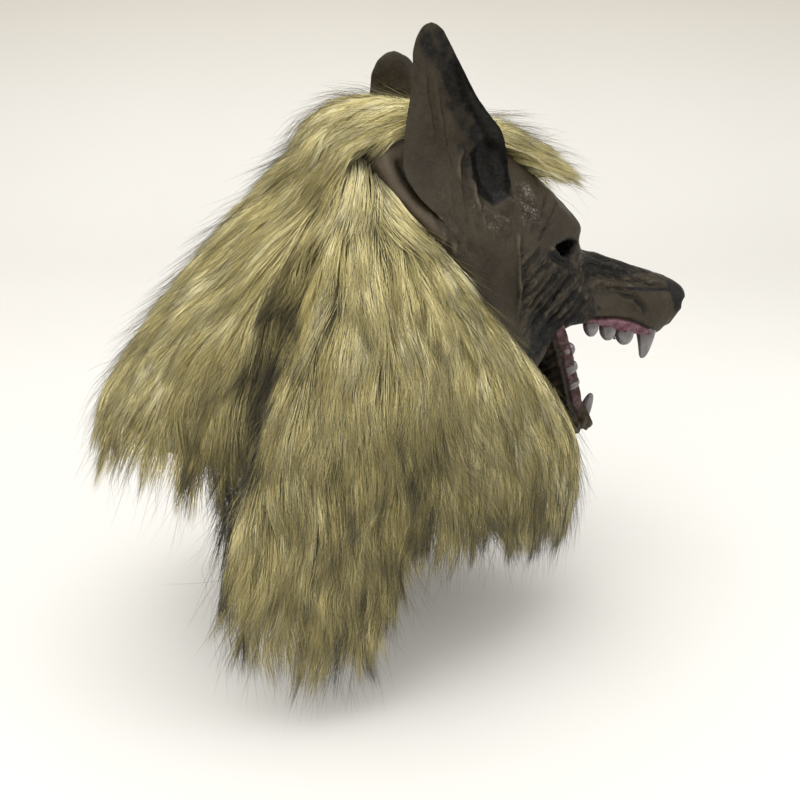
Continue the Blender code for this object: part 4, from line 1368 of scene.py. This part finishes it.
def comb(p, n, flow_of, length, rng, depth, rise, stray, sway, locks):
    """Centre lines of fibres, (count, LEVELS, 3): they leave the cloth this deep, follow the lie, and end this high
    over it; past the hem they fall free. locks gives (lead of each fibre, how closely it keeps to it)."""
    lines = np.zeros((len(p), LEVELS, 3))
    lines[:, 0] = p - n * depth[:, None]
    spot, out = p, n
    jitter = rng.normal(0, 1, (len(p), 3)) * np.reshape(stray, (-1, 1))
    for k in range(1, LEVELS):
        s = k / (LEVELS - 1)
        ahead = spot + unit(
            flow_of(spot, out) + jitter * (0.5 + s) + sway * (0.4 + 0.6 * s)
        ) * (length / (LEVELS - 1))[:, None]
        near, out = under(ahead)
        spot = ahead - out * ((ahead - near) * out).sum(-1, keepdims=True)
        lines[:, k] = spot + out * (rise * s**1.4 - depth * (1 - s) ** 1.7)[:, None]
    for lead, hold in locks:
        led = lines[lead]
        for k in range(1, LEVELS):
            lines[:, k] += (led[:, k] - lines[:, k]) * np.reshape(hold * (k / (LEVELS - 1)) ** 1.1, (-1, 1))
    beside = (np.abs(lines[..., 1] + 24) < 38) & (lines[..., 2] > -38)  # the ears stand clear of the fur
    lines[..., 0] = np.where(beside, np.clip(lines[..., 0], -EAR_CLEAR, EAR_CLEAR), lines[..., 0])
    return np.clip(lines, *FUR_BOX)


def fur_object(name, lines, n, tint, width):
    """Builds fibres along the lines as one mesh; tint and the share of length go to the 'OFBake' map."""
    count = len(lines)
    tangent = unit(np.gradient(lines, axis=1))
    side = unit(np.cross(tangent, n[:, None, :]))
    other = np.cross(side, tangent)
    taper = np.array([0.9, 1.0, 0.72, 0.0])
    level = np.rint(FIBRE_POINTS[:, 2]).astype(int)
    radius = width[:, None] * taper[level][None]
    points = (
        lines[:, level]
        + side[:, level] * (FIBRE_POINTS[:, 0][None] * radius)[..., None]
        + other[:, level] * (FIBRE_POINTS[:, 1][None] * radius)[..., None]
    )
    per = len(FIBRE_POINTS)
    sizes = np.array([len(f) for f in FIBRE_FACES])
    corner = np.concatenate([np.array(f) for f in FIBRE_FACES])
    mesh = bpy.data.meshes.new(name)
    mesh.vertices.add(count * per)
    mesh.vertices.foreach_set("co", (points * MM).astype(np.float32).ravel())
    loops = (np.arange(count)[:, None] * per + corner[None]).ravel()
    mesh.loops.add(len(loops))
    mesh.loops.foreach_set("vertex_index", loops.astype(np.int32))
    starts = np.concatenate([[0], np.cumsum(sizes)[:-1]])
    mesh.polygons.add(count * len(sizes))
    mesh.polygons.foreach_set(
        "loop_start", (np.arange(count)[:, None] * len(corner) + starts[None]).ravel().astype(np.int32)
    )
    mesh.update(calc_edges=True)
    layer = mesh.uv_layers.new(name="OFBake")
    u = np.clip(tint, 0.01, 0.99)[:, None] + 0.004 * FIBRE_POINTS[corner, 0][None]
    v = np.broadcast_to(0.01 + 0.98 * (level[corner] / (LEVELS - 1))[None], u.shape)
    layer.data.foreach_set("uv", np.stack([u, v], -1).astype(np.float32).ravel())
    mesh.validate()
    return link(name, mesh, PILE)


def whorl_flow(p, n):
    """The lay of the mane: it fans out from behind each ear, falls, and under the chin hangs back towards the neck."""
    heart = np.stack([np.clip(0.75 * p[:, 0], -54, 54), np.full(len(p), 34.0), np.full(len(p), -4.0)], -1)
    out = p - heart
    reach = np.linalg.norm(out, axis=1, keepdims=True)
    way = out / np.maximum(reach, 1)
    front = step(-p[:, 1], 60, 120) * step(-p[:, 2], 150, 230)
    way[:, 1] = way[:, 1] * (1 - front) + 0.30 * front
    way[:, 0] *= 1 - 0.6 * front
    way = way + GRAVITY * (0.15 + 0.75 * step(reach, 60, 260))
    way = way - n * (way * n).sum(-1, keepdims=True)
    return unit(way)


def dark_zone(p, degrees, t):
    """How charcoal the tips are, 0 to 1: along the grooves between the lobes, over the middle and towards the hem."""
    a = np.abs(degrees)
    groove = np.exp(-(((a - 42 - 6 * wave(p, 60, 2)) / 7.0) ** 2)) * step(t, 0.10, 0.34)
    low = step(t, 0.62, 0.95) * 0.35
    middle = 0.42 * np.exp(-(((a - 84) / 17) ** 2)) * step(t, 0.22, 0.42) * (1 - 0.6 * step(t, 0.62, 0.8))
    front = 0.42 * step(a, 98, 116) * step(t, 0.30, 0.60)
    patch = 0.24 * np.clip(wave(p, 34, 5), 0, 1) + 0.20 * np.clip(wave(p, 15, 6), 0, 1)
    return np.clip(0.90 * groove + low + middle + front + patch * (0.4 + 0.6 * step(t, 0.05, 0.3)), 0, 1)


def stop_line(degrees):
    """How far down the lie the roots go, so that the tips end at the hem."""
    return np.interp(
        np.abs(degrees), [0, 33, 52, 88, 97, 125, 145, 160, 172, 180],
        [0.74, 0.79, 0.83, 0.80, 0.75, 0.71, 0.66, 0.56, 0.45, 0.40]
    )


def pile_of(name, p, n, flow_of, length, rng, depth, zone):
    """Fibres over these roots, in small locks that gather in large ones. zone is how dark each root's fur is."""
    count = len(p)
    guard = rng.random(count) < GUARD_SHARE
    large, far = locks_of(p, LARGE_LOCK, rng, ~guard)
    small, near = locks_of(p, SMALL_LOCK, rng, ~guard)
    own, lock, tuft = rng.random((3, count))
    crest = 1 - far**2
    rise = -2.5 + 6.0 * crest - 2.0 * near**2 + 3.0 * (lock[small] - 0.5) + rng.normal(0, 1.0, count)
    rise = np.where(guard, rise + 2.0 + 18.0 * rng.random(count) ** 2, rise)
    length = length * (0.82 + 0.22 * lock[small] + 0.20 * tuft[large]) * np.where(guard, 1.24, 1.0)
    sway = rng.normal(0, 0.10, (count, 3))[small] + rng.normal(0, 0.15, (count, 3))[large]
    lines = comb(
        p, n, flow_of, length, rng, depth, rise, np.where(guard, 0.19, 0.06), sway,
        ((small, np.where(guard, 0.12, 0.30 + 0.35 * own)), (large, np.where(guard, 0.05, 0.30))),
    )
    # painted shade: the far and near terms darken fibres at the edges of locks, as in the gaps between them
    tint = -0.13 + 0.16 * own**1.5 + 0.42 * lock[small] ** 1.5 + 0.18 * tuft[large] + 0.16 * far**2 + 0.08 * near**2 + 0.64 * zone
    tint = np.where(guard, 0.74 + 0.26 * own, tint)
    width = np.where(guard, 0.105, rng.uniform(0.15, 0.25, count))
    thing = fur_object(name, lines, n, np.clip(tint, 0, 1), width)
    return thing


def swirl(p, sizes):
    return sum(much * np.stack([wave(p, size, k + size) for k in (1, 2, 3)], -1) for size, much in sizes)


def mane_flow(p, n):
    return unit(whorl_flow(p, n) + swirl(p, ((46, 0.22), (17, 0.13))))


def mane_fur(name, low, high, count, seed, ride):
    a, t, rng = scatter(
        mane_at, (low, 0.0), (high, 0.88), count, seed, lambda a,
        t: (t < stop_line(a)) * (1 + 1.6 * step(0.08 - t, 0, 0.08))
    )
    p, n = surface_frame(mane_at, a, t)
    n = outward(n, p, MANE_MIDDLE)
    depth = 12.0 * rng.uniform(0.4, 1.0, count) * (0.45 + 0.55 * step(t, 0.0, 0.16))
    length = rng.uniform(52, 74, count) * (0.74 + 0.26 * step(t, 0.0, 0.25))
    thing = pile_of(name, p, n, mane_flow, length, rng, depth, dark_zone(p, a, t))
    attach(thing, ride)
    return thing


def crown_flow(p, n):
    """From the whorl between the ears the lay runs forward over the brow, back over the nape, and out to the sides."""
    forward = step(-p[:, 1], 8, 44)
    side = np.sign(p[:, 0] + 3 * wave(p, 14, 9))
    spread = 3.4 * forward * (1 - forward) + 0.34 * (1 - forward) * step(np.abs(p[:, 0]), 4, 30)
    flow = np.stack(
        [side * spread, 1 - 2 * forward, -0.30 - 0.2 * forward], -1
    ) + swirl(p, ((26, 0.18), (11, 0.10)))
    return unit(flow - n * (flow * n).sum(-1, keepdims=True))


def crown_fur(name, count, seed):
    u, v, rng = scatter(
        crown_at, (0.0, 0.28), (1.0, 0.97), count, seed, lambda u, v: 0.40 + 0.60 * step(v, 0.28, 0.5)
    )
    p, n = surface_frame(crown_at, u, v)
    n = outward(n, p, CROWN_MIDDLE)
    forward = step(-p[:, 1], 8, 44)
    depth = 9.0 * rng.uniform(0.5, 1.0, count) + 11 * step(v, 0.58, 0.30)
    length = rng.uniform(44, 60, count) * (0.95 - 0.12 * forward)
    return pile_of(name, p, n, crown_flow, length, rng, depth, 0.10 * np.clip(wave(p, 20, 4), 0, 1))


for name, low, high, count, seed, ride, node in (
    ("mane_right_pile_rear", 36, 80, 11800, 11, "head", "mane_right"),
    ("mane_right_pile_front", 80, 128, 11400, 12, "head", "mane_right"),
    ("mane_left_pile_rear", -80, -36, 10800, 13, "head", "mane_left"),
    ("mane_left_pile_front", -128, -80, 10400, 14, "head", "mane_left"),
    ("mane_back_pile_right", 0, 36, 10400, 15, "rear_flap", "mane_back"),
    ("mane_back_pile_left", -36, 0, 9800, 16, "rear_flap", "mane_back"),
    ("bib_pile_right", 128, 180, 8400, 17, "head", "bib_fur"),
    ("bib_pile_left", -180, -128, 7600, 18, "head", "bib_fur"),
):
    pile = mane_fur(name, low, high, count, seed, ride)
    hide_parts(node)
crown = crown_fur("crown_pile", 11000, 19)
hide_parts("crown_fur")
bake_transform(crown)


# backing cloth, one panel under each area of pile
def backing(name, at, low, high, depth, across, along, body, middle, sunk=0.0):
    """A walled panel of backing cloth this deep under the lie; its width across is worked out but not used.
    The flat size is worked out from the sheet as built, so the area test on it always comes out near 1.
    """

    def place(u, v):
        a, b = low[0] + u * (high[0] - low[0]), low[1] + v * (high[1] - low[1])
        p, n = surface_frame(at, a, b)
        if ((p - middle) * n).sum() < 0:
            n = -n
        return p - n * (depth + sunk * step(b, 0.58, 0.30) - 0.8 * wave(p, 30, 2))[:, None]

    mesh, _ = grid_mesh(name, across, along, place)
    facing_out(mesh, middle)
    thing = walled(name, mesh, BACKING, CLOTH_WALL)
    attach(thing, body)
    wide = float(
        np.linalg.norm(
            at(np.array([low[0]]), np.array([0.6 * high[1]])) - at(np.array([high[0]]), np.array([0.6 * high[1]]))
        ) * MM
    )


backing("backing_right", mane_at, (37, 0.0), (127, 0.80), 13.0, 50, 44, "head", MANE_MIDDLE)
backing("backing_left", mane_at, (-127, 0.0), (-37, 0.80), 13.0, 50, 44, "head", MANE_MIDDLE)
backing("backing_rear", mane_at, (-33, 0.01), (33, 0.86), 13.0, 40, 44, "rear_flap", MANE_MIDDLE)
backing("backing_bib", mane_at, (129, 0.0), (180, 0.62), 10.0, 40, 24, "head", MANE_MIDDLE)
backing("backing_bib_left", mane_at, (-180, 0.0), (-129, 0.62), 10.0, 40, 24, "head", MANE_MIDDLE)
backing("backing_crown", crown_at, (0.0, 0.34), (1.0, 0.96), 9.5, 24, 40, "head", CROWN_MIDDLE, 12.0)

# ------------------------------------------------------------------ floor and light
low_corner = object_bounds()[0]
floor_z = float(low_corner[2]) - 0.004


def stage_finish():
    """Pale paper, white on the floor, warmer up the sweep and darker there as painted shade."""
    made, tree, shader, place = finish_named("studio_paper", 0.75, 0.0, 0.1, 0.15)
    mottle = use(tree, MOTTLE, place, Blotch=0.8, Speckle=60.0)
    low = blend_colour(tree, mottle.outputs["Blotches"], (0.70, 0.69, 0.67), (0.73, 0.72, 0.70))
    parts = add(tree, "ShaderNodeSeparateXYZ")
    join(tree, (place, parts.inputs[0]))
    # painted shade: the paper darkens and warms from the floor up the sweep, for light falling off up the backdrop
    colour = blend_colour(
        tree, span(tree, parts.outputs[2], floor_z + 0.02, floor_z + 1.1), low, (0.425, 0.380, 0.308)
    )
    join(tree, (colour, shader.inputs["Base Color"]))
    return made


def studio():
    """A sheet of paper that runs flat under the mask and sweeps up behind it, seen from the camera."""
    camera = bpy.context.scene.camera.matrix_world
    away = Vector((-camera[0][2], -camera[1][2], 0)).normalized()
    across = Vector((-away.y, away.x, 0))
    bm = bmesh.new()
    bmesh.ops.create_grid(bm, x_segments=48, y_segments=2, size=1.0)
    start, radius = 1.25, 1.1
    for vert in bm.verts:
        run, wide = (vert.co.x + 1) / 2 * 7.2 - 3.0, vert.co.y * 5.0
        turn = min(max((run - start) / radius, 0), math.pi / 2)
        rise = max(run - start - radius * math.pi / 2, 0)
        reach = min(run, start) + radius * math.sin(turn)
        vert.co = away * reach + across * wide + Vector((0, 0, floor_z + radius * (1 - math.cos(turn)) + rise))
    bmesh.ops.recalc_face_normals(bm, faces=bm.faces)
    if sum(f.normal.z * f.calc_area() for f in bm.faces) < 0:
        bmesh.ops.reverse_faces(bm, faces=bm.faces)
    mesh = bpy.data.meshes.new("studio_sweep")
    bm.to_mesh(mesh)
    bm.free()
    link("studio_sweep", mesh, stage_finish())
    world = bpy.data.worlds.new("studio_air")
    bpy.context.scene.world = world
    world.use_nodes = True
    world.node_tree.nodes["Background"].inputs[0].default_value = (1.0, 0.985, 0.945, 1)
    world.node_tree.nodes["Background"].inputs[1].default_value = 1.0
    for name, spot, size, power, colour in (
        ("key_panel", (-0.8, 1.1, 1.7), 2.0, 27, (1.0, 0.98, 0.94)),
        ("top_panel", (0.1, 0.1, 1.9), 2.6, 21, (1.0, 1.0, 1.0)),
        ("front_panel", (-0.9, -1.3, 0.7), 1.0, 5, (0.96, 0.98, 1.0)),
    ):
        data = bpy.data.lights.new(name, "AREA")
        data.size, data.energy, data.color = size, power, colour
        light = bpy.data.objects.new(name, data)
        light.location = spot
        light.rotation_euler = (Vector((0, 0, -0.15)) - Vector(spot)).to_track_quat("-Z", "Y").to_euler()
        bpy.context.scene.collection.objects.link(light)


studio()
bpy.context.scene.view_settings.view_transform = "Standard"
